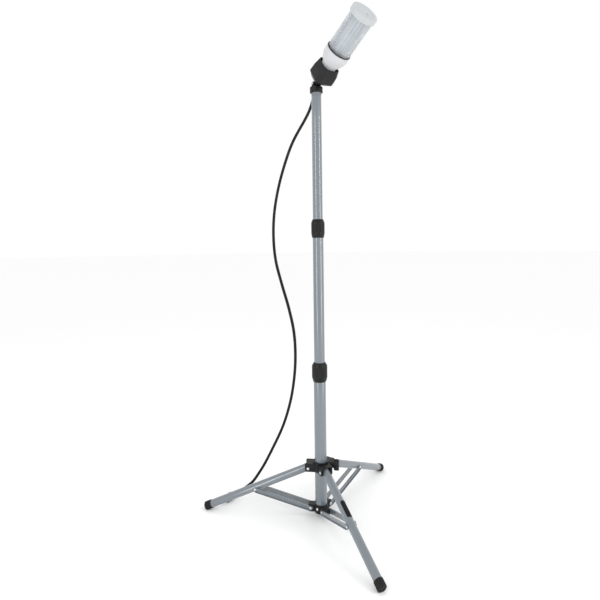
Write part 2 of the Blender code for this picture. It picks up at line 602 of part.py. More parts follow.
def build_upper_hub():
    """The sliding hub: a sleeve on the lower tube, a fork for each leg and a clamp boss."""
    top = HUB_ABOVE
    bottom = -HUB_BELOW
    solid = [(0.0, top), (HUB_R, top), (HUB_R, bottom), (0.0, bottom)]
    hub = turned("upper_hub", solid, black_plastic, hub_body, closed=False)
    end = LEG_PIVOT_R + CHEEK_END
    round_r = 0.006
    low = CHEEK_LIFT - HUB_BELOW
    start = HUB_R * 0.7
    outline = [(start, CHEEK_ABOVE), (end - 0.002, CHEEK_ABOVE), (end, CHEEK_ABOVE - 0.002)]
    outline += arc((end - round_r, round_r + low), round_r, 0.0, -90.0, 4)
    outline += [(start, low)]
    roof_top = CHEEK_ABOVE - CHEEK_LIFT
    roof = [(start + 0.001, roof_top), (end - 0.003, roof_top),
            (end - 0.003, roof_top - CHEEK_ROOF), (start + 0.001, roof_top - CHEEK_ROOF)]
    middle = (CHEEK_INNER + CHEEK_OUTER) / 2
    for index, azimuth in enumerate(LEG_AZIMUTHS, 1):
        turn = math.radians(azimuth)
        for label, side in (("a", 1.0), ("b", -1.0)):
            x = -side * middle * math.sin(turn)
            y = side * middle * math.cos(turn)
            join(hub, prism_mesh(f"cheek_{index}{label}", outline, CHEEK_THICKNESS / 2), hub_body,
                 location=(x, y, 0.0), rotation=(math.pi / 2, 0.0, turn))
        join(hub, prism_mesh(f"fork_roof_{index}", roof, middle), hub_body,
             location=(0.0, 0.0, 0.0), rotation=(math.pi / 2, 0.0, turn))
    join(hub, cylinder_mesh("knob_boss", BOSS_R, 0.004, BOSS_END, "X", 24), hub_body,
         location=(0.0, 0.0, KNOB_ABOVE_PIVOT))
    cut(hub, cylinder_mesh("upper_hub_bore", HUB_BORE_R, -0.03, 0.04), hub_body)
    cut(hub, cylinder_mesh("knob_boss_bore", STUD_R + RUNNING_GAP, 0.010, 0.05, "X", SMALL_ROUND),
        hub_body, location=(0.0, 0.0, KNOB_ABOVE_PIVOT))
    nut_start = LOWER_TUBE_R + NUT_DEPTH
    nut_end = nut_start + NUT_HEIGHT
    cut(hub, cylinder_mesh("knob_nut_pocket", NUT_R + GAP, nut_start - GAP, nut_end + GAP, "X", 6),
        hub_body, location=(0.0, 0.0, KNOB_ABOVE_PIVOT))
    for index, azimuth in enumerate(LEG_AZIMUTHS, 1):
        turn = math.radians(azimuth)
        place = (LEG_PIVOT_R * math.cos(turn), LEG_PIVOT_R * math.sin(turn), 0.0)
        cut(hub, cylinder_mesh(f"fork_hole_{index}", RIVET_R + GAP, -CHEEK_OUTER - 0.002,
                               CHEEK_OUTER + 0.002, "Y", SMALL_ROUND), hub_body,
            location=place, rotation=(0.0, 0.0, turn))
        pin_frame = make_frame(f"leg_rivet_frame_{index}", hub_body, place, (0.0, 0.0, turn))
        double_rivet(f"leg_rivet_{index}", CHEEK_OUTER, pin_frame)

    nut = cylinder_mesh("clamp_nut", NUT_R, nut_start, nut_end, "X", 6)
    nut_piece = add_piece("clamp_nut", nut, bright_steel, hub_body,
                          location=(0.0, 0.0, KNOB_ABOVE_PIVOT))
    cut(nut_piece, cylinder_mesh("clamp_nut_bore", STUD_R + RUNNING_GAP, 0.0, 0.05, "X",
                                 SMALL_ROUND), hub_body, location=(0.0, 0.0, KNOB_ABOVE_PIVOT))


def build_knob():
    """The lobed grip and its threaded stud, which presses on the lower tube."""
    stud_end = KNOB_START + KNOB_THICKNESS * 0.7
    stud = cylinder_mesh("clamp_stud", STUD_R, LOWER_TUBE_R + RUNNING_GAP, stud_end, "X",
                         SMALL_ROUND)
    add_piece("clamp_stud", stud, bright_steel, knob_body)
    count = KNOB_LOBES * 8
    outline = []
    for i in range(count):
        angle = 2 * math.pi * i / count
        radius = KNOB_R + KNOB_LOBE * math.cos(KNOB_LOBES * angle)
        outline.append((radius * math.cos(angle), radius * math.sin(angle)))
    middle = KNOB_START + KNOB_THICKNESS / 2
    mesh = prism_mesh("clamp_knob", outline, KNOB_THICKNESS / 2)
    mesh.transform(Matrix.Translation((middle, 0.0, 0.0)) @ Matrix.Rotation(math.pi / 2, 4, "Y"))
    knob = add_piece("clamp_knob", mesh, black_plastic, knob_body)
    join(knob, cylinder_mesh("knob_neck", KNOB_NECK_R, KNOB_START - KNOB_NECK, middle, "X", 24),
         knob_body)
    cut(knob, cylinder_mesh("knob_stud_hole", STUD_R + GAP, 0.0, stud_end + GAP, "X",
                            SMALL_ROUND), knob_body)


# ================================================================ legs and braces

def build_leg(index, leg, brace):
    """One leg in its own frame: X along the leg from its pivot, Y along the pivot pin."""
    profile = ring_profile(LEG_R, LEG_R - LEG_WALL, -LEG_STUB, LEG_LENGTH - LEG_END_GAP)
    tube = turned(f"leg_tube_{index}", profile, grey_powder_coat, leg, sides=16,
                  rotation=(0.0, math.pi / 2, 0.0))
    cut(tube, cylinder_mesh(f"leg_pivot_hole_{index}", RIVET_R + RUNNING_GAP, -0.02, 0.02, "Y",
                            SMALL_ROUND), leg)
    rivet_place = (BRACE_REACH, 0.0, -BRACE_DROP)
    cut(tube, cylinder_mesh(f"leg_brace_hole_{index}", RIVET_R + GAP, -0.02, 0.02, "Y",
                            SMALL_ROUND), leg, location=rivet_place)

    # rubber foot: a sleeve on the tube with a blunt end, flat where it stands
    bore = LEG_R + GAP
    end = LEG_LENGTH + FOOT_END
    corner = arc((FOOT_R - FOOT_ROUND, end - FOOT_ROUND), FOOT_ROUND, 90.0, 0.0, 3)
    floor = LEG_LENGTH - LEG_END_GAP + GAP
    profile = [(0.0, end)] + corner
    profile += [(FOOT_R, LEG_LENGTH - FOOT_SLEEVE), (bore, LEG_LENGTH - FOOT_SLEEVE),
                (bore, floor), (0.0, floor)]
    foot = turned(f"foot_{index}", profile, black_rubber, leg, closed=False, sides=16,
                  rotation=(0.0, math.pi / 2, 0.0))
    turn = math.radians(LEG_AZIMUTHS[index - 1])
    center = (FOOT_CIRCLE * math.cos(turn), FOOT_CIRCLE * math.sin(turn), 0.0)
    cut(foot, box_mesh(f"floor_cut_{index}", (-0.04, -0.04, -0.03), (0.04, 0.04, 0.0)), root,
        location=center)

    # the rivet through the leg and both braces
    rivet_frame = make_frame(f"brace_rivet_frame_{index}", leg, rivet_place)
    double_rivet(f"brace_rivet_{index}", BRACE_SIDE + BRACE_SHEET, rivet_frame)

    # channel with its web against the leg and its flanges outwards
    half = BRACE_WIDTH / 2
    inner_half = half - BRACE_SHEET
    section = [(0.0, -half), (BRACE_DEPTH, -half), (BRACE_DEPTH, -inner_half),
               (BRACE_SHEET, -inner_half), (BRACE_SHEET, inner_half), (BRACE_DEPTH, inner_half),
               (BRACE_DEPTH, half), (0.0, half)]
    length = BRACE_LENGTH + 2 * BRACE_END
    for label, side in (("left", 1.0), ("right", -1.0)):
        mesh = prism_mesh(f"brace_{label}_{index}", section, length / 2)
        # section X goes outwards along Y, section Y goes along Z, and the length along X
        stand = Matrix(((0.0, 0.0, 1.0), (1.0, 0.0, 0.0), (0.0, 1.0, 0.0))).to_4x4()
        mesh.transform(Matrix.Translation((BRACE_LENGTH / 2, BRACE_SIDE, 0.0)) @ stand)
        if side < 0:
            mesh.transform(Matrix.Scale(-1.0, 4, (0.0, 1.0, 0.0)))
            mesh.flip_normals()
        strip = add_piece(f"brace_{label}_{index}", mesh, grey_powder_coat, brace)
        for place, x in (("top", 0.0), ("low", BRACE_LENGTH)):
            hole = cylinder_mesh(f"brace_{label}_{place}_hole_{index}", RIVET_R + RUNNING_GAP,
                                 -0.02, 0.02, "Y", SMALL_ROUND)
            cut(strip, hole, brace, location=(x, 0.0, 0.0))


def build_legs():
    for index, azimuth in enumerate(LEG_AZIMUTHS, 1):
        turn = math.radians(azimuth)
        leg = make_frame(f"leg_frame_{index}", root,
                         (LEG_PIVOT_R * math.cos(turn), LEG_PIVOT_R * math.sin(turn), LEG_PIVOT_Z),
                         (0.0, LEG_SLOPE, turn))
        brace = make_frame(f"brace_frame_{index}", root,
                           (BRACE_TOP_R * math.cos(turn), BRACE_TOP_R * math.sin(turn),
                            BRACE_TOP_Z), (0.0, math.pi - BRACE_SLOPE, turn))
        build_leg(index, leg, brace)


# ================================================================ lamp head

def octagon(half_x, half_y, offset):
    """Corners of a square with cut corners, anticlockwise."""
    cut_x = half_x * HOUSING_CHAMFER
    cut_y = half_y * HOUSING_CHAMFER
    quarter = [(half_x, half_y - cut_y), (half_x - cut_x, half_y)]
    points = quarter + [(-x, y) for x, y in reversed(quarter)]
    points += [(-x, -y) for x, y in quarter] + [(x, -y) for x, y in reversed(quarter)]
    return [(x + offset, y) for x, y in points]


def loft_mesh(name, sections):
    """A solid through octagons of unlike size; each section is (height, corners)."""
    bm = bmesh.new()
    rings = [[bm.verts.new((x, y, height)) for x, y in corners] for height, corners in sections]
    for low, high in zip(rings, rings[1:]):
        for i in range(len(low)):
            j = (i + 1) % len(low)
            bm.faces.new((low[i], low[j], high[j], high[i]))
    bm.faces.new(list(reversed(rings[0])))
    bm.faces.new(rings[-1])
    bmesh.ops.recalc_face_normals(bm, faces=bm.faces)
    mesh = bpy.data.meshes.new(name)
    bm.to_mesh(mesh)
    bm.free()
    return mesh


def housing_inner_sections():
    """The housing's sections less its wall, from its solid root up through its mouth."""
    lower, upper = HOUSING_SECTIONS[1], HOUSING_SECTIONS[2]
    share = (HOUSING_FLOOR - lower[0]) / (upper[0] - lower[0])
    floor = [a + (b - a) * share for a, b in zip(lower, upper)]
    floor[0] = HOUSING_FLOOR
    sections = [tuple(floor)] + list(HOUSING_SECTIONS[2:])
    mouth = sections[-1]
    sections.append((mouth[0] + 0.01,) + mouth[1:])
    return [(t, octagon(hx - HOUSING_WALL, hy - HOUSING_WALL, offset))
            for t, hx, hy, offset in sections]


def build_housing():
    """Two clamshell halves that split on the lean plane; each has half of the tilt tongue."""
    outer = [(t, octagon(hx, hy, offset)) for t, hx, hy, offset in HOUSING_SECTIONS]
    tongue_outline = arc((0.0, 0.0), TONGUE_R, 180.0, 360.0, 10)
    tongue_outline += [(TONGUE_R, 0.010), (-TONGUE_R, 0.010)]
    reach = 0.06
    for label, side in (("right", 1.0), ("left", -1.0)):
        half = add_piece(f"housing_{label}", loft_mesh(f"housing_{label}", outer), black_plastic,
                         head_body)
        join(half, prism_mesh(f"tongue_{label}", tongue_outline, TONGUE_HALF), head_body,
             rotation=(math.pi / 2, 0.0, 0.0))
        cut(half, loft_mesh(f"housing_hollow_{label}", housing_inner_sections()), head_body)
        low, high = sorted((side * GAP / 2, -side * reach))
        cut(half, box_mesh(f"housing_split_{label}", (-reach, low, -reach), (reach, high, 0.1)),
            head_body)
        cut(half, cylinder_mesh(f"tongue_hole_{label}", TILT_BOLT_R + GAP, -0.03, 0.03, "Y",
                                SMALL_ROUND), head_body)
        for number, x in ((1, -HOUSING_SCREW_X), (2, HOUSING_SCREW_X)):
            place = (x, 0.0, HOUSING_SCREW_T)
            end = HOUSING_SCREW_HALF
            hole = cylinder_mesh(f"screw_hole_{label}_{number}", HOUSING_SCREW_R + GAP, -end - GAP,
                                 reach, "Y", SMALL_ROUND)
            cut(half, hole, head_body, location=place)
            if side > 0:
                recess = cylinder_mesh(f"screw_recess_{number}", HOUSING_SCREW_HEAD_R + GAP,
                                       end - HOUSING_SCREW_HEAD_H, reach, "Y", SMALL_ROUND)
                cut(half, recess, head_body, location=place)
    for number, x in ((1, -HOUSING_SCREW_X), (2, HOUSING_SCREW_X)):
        end = HOUSING_SCREW_HALF
        head = end - HOUSING_SCREW_HEAD_H + GAP
        profile = [(0.0, end), (HOUSING_SCREW_HEAD_R, end), (HOUSING_SCREW_HEAD_R, head),
                   (HOUSING_SCREW_R, head), (HOUSING_SCREW_R, -end), (0.0, -end)]
        turned(f"housing_screw_{number}", profile, bright_steel, head_body, closed=False, sides=12,
               location=(x, 0.0, HOUSING_SCREW_T), rotation=(-math.pi / 2, 0.0, 0.0))


def build_tilt_bolt():
    start = EAR_OUTER + GAP
    end = start + TILT_NUT_H - 0.001
    bolt = [(0.0, end), (TILT_BOLT_R, end), (TILT_BOLT_R, -start), (TILT_HEAD_R, -start),
            (TILT_HEAD_R * 0.8, -start - TILT_HEAD_H), (0.0, -start - TILT_HEAD_H)]
    turned("tilt_bolt", bolt, bright_steel, knuckle_frame, closed=False, sides=SMALL_ROUND,
           rotation=(-math.pi / 2, 0.0, 0.0))
    bore = (TILT_BOLT_R + GAP) / math.cos(math.pi / 6)
    top = start + TILT_NUT_H
    nut = [(0.0, top), (TILT_NUT_R * 0.7, top), (TILT_NUT_R, top - 0.0012), (TILT_NUT_R, start),
           (bore, start), (bore, end + GAP), (0.0, end + GAP)]
    turned("tilt_nut", nut, bright_steel, knuckle_frame, closed=False, sides=6,
           rotation=(-math.pi / 2, 0.0, 0.0))


def build_lampholder():
    """The insulating holder with the thread shell that takes the lamp's base."""
    bore = HOLDER_BORE_R
    floor = SHELL_BOTTOM - 0.004
    flange_top = HOLDER_BOTTOM + HOLDER_FLANGE
    profile = [(0.0, HOLDER_TOP), (HOLDER_R, HOLDER_TOP), (HOLDER_R, flange_top),
               (HOLDER_FLANGE_R, flange_top), (HOLDER_FLANGE_R, HOLDER_BOTTOM),
               (0.0, HOLDER_BOTTOM)]
    holder = turned("lampholder", profile, white_plastic, head_body, closed=False)
    cut(holder, cylinder_mesh("lampholder_bore", bore, floor, HOLDER_TOP + 0.01), head_body)
    shell_outer = bore - GAP
    turned("holder_thread_shell",
           ring_profile(shell_outer, shell_outer - CONTACT_SHELL_WALL, floor + GAP,
                        HOLDER_TOP - 0.001), brass, head_body)


def build_lamp():
    """The screw-in LED lamp: base, flared neck, driver, carrier, cover and end cap."""
    shell_inner = SHELL_R - SHELL_WALL
    turned("lamp_base_shell", ring_profile(SHELL_R, shell_inner, SHELL_BOTTOM, SHELL_TOP),
           aluminium, lamp_body)
    contact_r = shell_inner - GAP
    profile = [(0.0, SHELL_BOTTOM + 0.004), (contact_r, SHELL_BOTTOM + 0.004),
               (contact_r, SHELL_BOTTOM), (0.0045, SHELL_BOTTOM - 0.0028),
               (0.0, SHELL_BOTTOM - 0.0032)]
    turned("lamp_base_contact", profile, brass, lamp_body, closed=False, sides=24)

    # neck: its spigot stands in the base shell, its flare rises to the cover
    spigot_r = shell_inner - GAP
    spigot_bottom = SHELL_TOP - 0.008
    flare = []
    start, end = NECK_BOTTOM + FLARE_START, NECK_TOP - FLARE_END
    for i in range(FLARE_STEPS + 1):
        share = i / FLARE_STEPS
        radius = NECK_BOTTOM_R + (NECK_TOP_R - NECK_BOTTOM_R) * math.sin(share * math.pi / 2)
        flare.append((radius, start + (end - start) * share))
    outer = [(NECK_TOP_R, NECK_TOP)] + list(reversed(flare)) + [(NECK_BOTTOM_R, NECK_BOTTOM)]
    inner = [(radius - NECK_WALL, height) for radius, height in flare]
    floor_z = NECK_BOTTOM + NECK_WALL
    profile = outer + [(spigot_r, NECK_BOTTOM), (spigot_r, spigot_bottom),
                       (spigot_r - 0.002, spigot_bottom), (spigot_r - 0.002, floor_z),
                       (NECK_BOTTOM_R - NECK_WALL, floor_z)] + inner
    profile.append((NECK_TOP_R - NECK_WALL, NECK_TOP))
    turned("lamp_neck", profile, white_plastic, lamp_body)

    board_bottom = NECK_BOTTOM + 0.010
    board = box_mesh("driver_board", (-BOARD_HALF_WIDTH, -BOARD_THICKNESS / 2, board_bottom),
                     (BOARD_HALF_WIDTH, BOARD_THICKNESS / 2, board_bottom + BOARD_LENGTH))
    add_piece("driver_board", board, circuit_board, lamp_body)

    gasket_bottom = NECK_TOP + GAP
    gasket_top = gasket_bottom + GASKET_HEIGHT
    turned("cover_gasket", ring_profile(GASKET_OUTER_R, GASKET_INNER_R, gasket_bottom, gasket_top),
           black_rubber, lamp_body)
    cover_bottom = gasket_top + GAP
    turned("lamp_cover", ring_profile(COVER_R, COVER_R - COVER_WALL, cover_bottom, COVER_TOP),
           clear_cover, lamp_body, sides=32)
    turned("led_carrier", ring_profile(CORE_R, CORE_R - CORE_WALL, cover_bottom, CORE_TOP),
           aluminium, lamp_body, sides=8)

    # end cap: a disc with a skirt around the cover's end
    cap_bottom = COVER_TOP - END_CAP_SKIRT
    seat = COVER_TOP + GAP
    cap_top = COVER_TOP + END_CAP_HEIGHT
    skirt_inner = COVER_R + GAP
    plug_r = COVER_R - COVER_WALL - GAP
    profile = [(0.0, cap_top), (END_CAP_R - END_CAP_EDGE, cap_top),
               (END_CAP_R, cap_top - END_CAP_EDGE), (END_CAP_R, cap_bottom),
               (skirt_inner, cap_bottom), (skirt_inner, seat), (plug_r, seat),
               (plug_r, cap_top - END_CAP_WALL), (0.0, cap_top - END_CAP_WALL)]
    cap = turned("end_cap", profile, frosted_plastic, lamp_body, closed=False, sides=32)
    hole = cylinder_mesh("end_screw_hole", END_SCREW_R + GAP, COVER_TOP, cap_top + END_CAP_HEIGHT,
                         "Z", SMALL_ROUND)
    cut(cap, hole, lamp_body, location=(END_SCREW_X, 0.0, 0.0))
    head = cap_top + GAP
    tip = cap_top - END_CAP_WALL - END_SCREW_TIP
    profile = [(0.0, head + END_SCREW_HEAD_H), (END_SCREW_HEAD_R, head + END_SCREW_HEAD_H),
               (END_SCREW_HEAD_R, head), (END_SCREW_R, head), (END_SCREW_R, tip), (0.0, tip)]
    turned("end_cap_screw", profile, bright_steel, lamp_body, closed=False, sides=SMALL_ROUND,
           location=(END_SCREW_X, 0.0, 0.0))


# ================================================================ cord and plug

def spline_point(p0, p1, p2, p3, share):
    """A point between p1 and p2 on a centripetal Catmull-Rom curve."""
    t0 = 0.0
    t1 = t0 + (p1 - p0).length ** 0.5
    t2 = t1 + (p2 - p1).length ** 0.5
    t3 = t2 + (p3 - p2).length ** 0.5
    t = t1 + (t2 - t1) * share
    a1 = p0 * ((t1 - t) / (t1 - t0)) + p1 * ((t - t0) / (t1 - t0))
    a2 = p1 * ((t2 - t) / (t2 - t1)) + p2 * ((t - t1) / (t2 - t1))
    a3 = p2 * ((t3 - t) / (t3 - t2)) + p3 * ((t - t2) / (t3 - t2))
    b1 = a1 * ((t2 - t) / (t2 - t0)) + a2 * ((t - t0) / (t2 - t0))
    b2 = a2 * ((t3 - t) / (t3 - t1)) + a3 * ((t - t1) / (t3 - t1))
    return b1 * ((t2 - t) / (t2 - t1)) + b2 * ((t - t1) / (t2 - t1))


def smooth_route(route, first, last):
    """Evenly spaced points on the smooth curve between two points of the route."""
    points = [Vector(p) for p in route]
    points = [2 * points[0] - points[1]] + points + [2 * points[-1] - points[-2]]
    fine = []
    for i in range(first + 1, last + 1):
        fine += [spline_point(*points[i - 1:i + 3], k / 20) for k in range(20)]
    fine.append(points[last + 1])
    lengths = [0.0]
    for a, b in zip(fine, fine[1:]):
        lengths.append(lengths[-1] + (b - a).length)
    count = max(2, round(lengths[-1] / CORD_STEP))
    even = []
    k = 0
    for i in range(count + 1):
        target = lengths[-1] * i / count
        while k < len(lengths) - 2 and lengths[k + 1] < target:
            k += 1
        share = (target - lengths[k]) / (lengths[k + 1] - lengths[k])
        even.append(fine[k].lerp(fine[k + 1], min(share, 1.0)))
    return even


def cord_piece(name, points):
    curve = bpy.data.curves.new(name, "CURVE")
    curve.dimensions = "3D"
    curve.bevel_depth = CORD_R
    curve.bevel_resolution = 2
    curve.use_fill_caps = True
    spline = curve.splines.new("POLY")
    spline.points.add(len(points) - 1)
    for point, place in zip(spline.points, points):
        point.co = (*place, 1.0)
    obj = bpy.data.objects.new(name, curve)
    parts.objects.link(obj)
    curve.materials.append(black_rubber)
    return obj


def build_cord():
    """The cord in two stretches, so that each can follow one slide of the mast."""
    upper = smooth_route(CORD_ROUTE, 0, CORD_SPLIT)
    lower = smooth_route(CORD_ROUTE, CORD_SPLIT, len(CORD_ROUTE) - 1)
    step = (lower[1] - lower[0]).normalized()
    lower[0] = lower[0] + step * GAP
    cord_piece("cord_upper", upper)
    cord_piece("cord_lower", lower)
    return lower


def build_plug(cord_points):
    """A flat two-blade plug that lies on the floor at the cord's end."""
    end = cord_points[-1]
    run = end - cord_points[-2]
    turn = math.atan2(run.y, run.x)
    frame = make_frame("plug_frame", None, (end.x, end.y, end.z), (0.0, 0.0, turn))
    start = GAP + 0.0008
    body_start = start + PLUG_TAIL
    body_end = body_start + PLUG_LENGTH
    drop = PLUG_THICKNESS / 2 + GAP - end.z
    half = PLUG_WIDTH / 2
    corner = 0.005
    outline = [(body_end, -half + 0.002), (body_end, half - 0.002)]
    outline += arc((body_start + corner, half - corner), corner, 90.0, 160.0, 4)
    outline += arc((body_start + corner, corner - half), corner, 200.0, 270.0, 4)
    plug = add_piece("plug", prism_mesh("plug", outline, PLUG_THICKNESS / 2), black_rubber, frame,
                     location=(0.0, 0.0, drop))
    tail = bmesh.new()
    bmesh.ops.create_cone(tail, cap_ends=True, segments=SMALL_ROUND, radius1=PLUG_TAIL_R - 0.001,
                          radius2=PLUG_TAIL_R, depth=PLUG_TAIL + 0.006)
    bmesh.ops.rotate(tail, verts=tail.verts, cent=(0.0, 0.0, 0.0),
                     matrix=Matrix.Rotation(math.pi / 2, 3, "Y"))
    bmesh.ops.translate(tail, verts=tail.verts, vec=(start + (PLUG_TAIL + 0.006) / 2, 0.0, 0.0))
    tail_mesh = bpy.data.meshes.new("plug_tail")
    tail.to_mesh(tail_mesh)
    tail.free()
    join(plug, tail_mesh, frame)
    for label, side in (("a", 1.0), ("b", -1.0)):
        center = side * BLADE_SPACING / 2
        blade = box_mesh(f"plug_blade_{label}",
                         (body_end - 0.004, center - BLADE_THICKNESS / 2, drop - BLADE_WIDTH / 2),
                         (body_end + BLADE_LENGTH, center + BLADE_THICKNESS / 2,
                          drop + BLADE_WIDTH / 2))
        join(plug, blade, frame)


# ================================================================ assembly

clear_scene()
parts = bpy.data.collections.new("work_light")
cutters = bpy.data.collections.new("work_light_guides")
bpy.context.scene.collection.children.link(parts)
bpy.context.scene.collection.children.link(cutters)

grey_powder_coat = make_material("grey_powder_coat", (0.23, 0.26, 0.29), 0.42)
grey_plastic = make_material("grey_plastic", (0.25, 0.27, 0.29), 0.5)
black_plastic = make_material("black_plastic", (0.018, 0.018, 0.019), 0.5)
black_rubber = make_material("black_rubber", (0.012, 0.012, 0.012), 0.7)
bright_steel = make_material("bright_steel", (0.75, 0.75, 0.76), 0.25, 1.0)
white_plastic = make_material("white_plastic", (0.85, 0.85, 0.86), 0.4)
frosted_plastic = make_material("frosted_plastic", (0.82, 0.83, 0.85), 0.35)
clear_cover = make_material("clear_cover", (0.75, 0.79, 0.84), 0.12)
aluminium = make_material("aluminium", (0.70, 0.71, 0.73), 0.35, 1.0)
brass = make_material("brass", (0.72, 0.55, 0.25), 0.3, 1.0)
circuit_board = make_material("circuit_board", (0.05, 0.22, 0.10), 0.5)

root = make_frame("mast_frame", None, (MAST_X, 0.0, 0.0))
lower_collar_body = make_frame("lower_collar_frame", root, (0.0, 0.0, 0.0))
mid_body = make_frame("middle_tube_frame", root, (0.0, 0.0, 0.0))
upper_collar_body = make_frame("upper_collar_frame", mid_body, (0.0, 0.0, 0.0))
top_body = make_frame("top_tube_frame", mid_body, (0.0, 0.0, 0.0))
knuckle_frame = make_frame("knuckle_frame", top_body, (0.0, 0.0, TILT_Z),
                           (0.0, 0.0, math.radians(HEAD_AZIMUTH)))
head_body = make_frame("head_frame", knuckle_frame, (0.0, 0.0, 0.0),
                       (0.0, math.radians(HEAD_TILT), 0.0))
lamp_body = make_frame("lamp_frame", head_body, (0.0, 0.0, 0.0))
hub_body = make_frame("upper_hub_frame", root, (0.0, 0.0, LEG_PIVOT_Z))
knob_body = make_frame("knob_frame", hub_body, (0.0, 0.0, KNOB_ABOVE_PIVOT))

build_mast()
build_cap()
build_lower_hub()
build_upper_hub()
build_knob()
build_legs()
build_housing()
build_tilt_bolt()
build_lampholder()
build_lamp()
build_plug(build_cord())
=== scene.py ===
import math

import bmesh
import bpy
from mathutils import Matrix, Vector


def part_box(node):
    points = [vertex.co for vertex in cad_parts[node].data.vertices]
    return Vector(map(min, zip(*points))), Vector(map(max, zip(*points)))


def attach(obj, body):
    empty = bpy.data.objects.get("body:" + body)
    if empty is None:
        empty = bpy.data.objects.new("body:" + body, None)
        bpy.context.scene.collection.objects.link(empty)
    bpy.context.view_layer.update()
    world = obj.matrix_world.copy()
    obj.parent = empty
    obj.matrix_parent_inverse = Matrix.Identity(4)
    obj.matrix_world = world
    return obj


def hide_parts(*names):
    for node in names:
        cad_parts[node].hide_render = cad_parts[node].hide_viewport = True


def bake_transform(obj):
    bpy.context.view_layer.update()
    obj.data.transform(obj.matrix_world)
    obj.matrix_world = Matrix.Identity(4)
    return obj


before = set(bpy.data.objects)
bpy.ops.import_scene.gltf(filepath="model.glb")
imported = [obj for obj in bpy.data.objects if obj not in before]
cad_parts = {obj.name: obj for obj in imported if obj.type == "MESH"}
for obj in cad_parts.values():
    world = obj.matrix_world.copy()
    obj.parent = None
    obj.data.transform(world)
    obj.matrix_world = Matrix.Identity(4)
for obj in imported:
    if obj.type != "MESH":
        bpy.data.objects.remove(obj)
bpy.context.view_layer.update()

# ================================================================ mast tubes
# Three round steel tubes that slide in each other. Welded steel, cut square and deburred,
# coated grey with a baked powder that shows a slight orange peel and lengthwise scuffs.


def linear(code):
    """An sRGB hex colour as linear RGBA."""
    parts = [int(code[i:i + 2], 16) / 255 for i in (1, 3, 5)]
    return [p / 12.92 if p <= 0.04045 else ((p + 0.055) / 1.055) ** 2.4 for p in parts] + [1.0]


def add(tree, kind, inputs=None, **settings):
    """Add a node; inputs gives each socket a value or another node's output to link from."""
    node = tree.nodes.new(kind)
    for name, value in settings.items():
        setattr(node, name, value)
    for socket, value in (inputs or {}).items():
        if isinstance(value, bpy.types.NodeSocket):
            tree.links.new(value, node.inputs[socket])
        else:
            node.inputs[socket].default_value = value
    return node


def finish(name, **inputs):
    """A new material with one Principled shader; returns the material, its tree and the shader."""
    material = bpy.data.materials.new(name)
    material.use_nodes = True
    tree = material.node_tree
    tree.nodes.clear()
    shader = add(tree, "ShaderNodeBsdfPrincipled",
                 {key.replace("_", " "): value for key, value in inputs.items()})
    add(tree, "ShaderNodeOutputMaterial", {0: shader.outputs[0]})
    return material, tree, shader


def surface(tree, shader, dark, light, cloud, rough, grain, depth, stretch=(1.0, 1.0, 1.0)):
    """Colour clouds, uneven gloss and a fine grain; cloud, grain and depth are real metres."""
    place = add(tree, "ShaderNodeTexCoord").outputs["Object"]
    drawn = add(tree, "ShaderNodeMapping", {"Vector": place, "Scale": stretch}).outputs[0]
    clouds = add(tree, "ShaderNodeTexNoise", {"Vector": drawn, "Scale": 1 / cloud, "Detail": 5.0,
                                              "Roughness": 0.6})
    colour = add(tree, "ShaderNodeMix", {0: clouds.outputs[0], 6: linear(dark),
                                         7: linear(light)}, data_type="RGBA")
    gloss = add(tree, "ShaderNodeMapRange", {0: clouds.outputs[0], 1: 0.3, 2: 0.7,
                                             3: rough[0], 4: rough[1]})
    grains = add(tree, "ShaderNodeTexNoise", {"Vector": place, "Scale": 1 / grain, "Detail": 2.0})
    bump = add(tree, "ShaderNodeBump", {"Height": grains.outputs[0], "Distance": depth,
                                        "Strength": 0.5})
    tree.links.new(colour.outputs[2], shader.inputs["Base Color"])
    tree.links.new(gloss.outputs[0], shader.inputs["Roughness"])
    tree.links.new(bump.outputs[0], shader.inputs["Normal"])


# Baked polyester powder on steel: semi-gloss, an orange peel of about 4 mm, faint drawn scuffs
# where the tubes have slid (15 times as long as they are wide).
powder_coat, tree, shader = finish("powder_coated_steel", IOR=1.5, Coat_Weight=1.0,
                                   Coat_Roughness=0.12, Coat_IOR=1.7)
surface(tree, shader, "#566067", "#6E777E", 0.016, (0.36, 0.50), 0.004, 0.00002,
        stretch=(1.0, 1.0, 1 / 15))


def turned(profile, sides, closed=True, ripple=None):
    """Turn (radius, height) points around Z; ripple adds to a radius by angle and height."""
    work = bmesh.new()
    rings = []
    for radius, height in profile:
        if radius < 1e-6:
            rings.append([work.verts.new((0.0, 0.0, height))])
            continue
        ring = []
        for i in range(sides):
            angle = 2 * math.pi * i / sides
            here = radius + (ripple(angle, radius, height) if ripple else 0.0)
            ring.append(work.verts.new((here * math.cos(angle), here * math.sin(angle), height)))
        rings.append(ring)
    pairs = list(zip(rings, rings[1:])) + ([(rings[-1], rings[0])] if closed else [])
    for low, high in pairs:
        for i in range(sides):
            j = (i + 1) % sides
            if len(low) == 1:
                work.faces.new((low[0], high[j], high[i]))
            elif len(high) == 1:
                work.faces.new((low[i], low[j], high[0]))
            else:
                work.faces.new((low[i], low[j], high[j], high[i]))
    bmesh.ops.recalc_face_normals(work, faces=work.faces)
    return work


def rounded(outline, size, steps=3):
    """Round the corners of a flat outline, each by a short curve that starts `size` before it."""
    points = []
    count = len(outline)
    for i, corner in enumerate(outline):
        here = Vector(corner)
        before = Vector(outline[i - 1]) - here
        after = Vector(outline[(i + 1) % count]) - here
        start = here + before.normalized() * min(size, before.length * 0.45)
        end = here + after.normalized() * min(size, after.length * 0.45)
        for k in range(steps + 1):
            share = k / steps
            points.append(tuple(start * (1 - share) ** 2 + here * 2 * share * (1 - share)
                                + end * share ** 2))
    return points


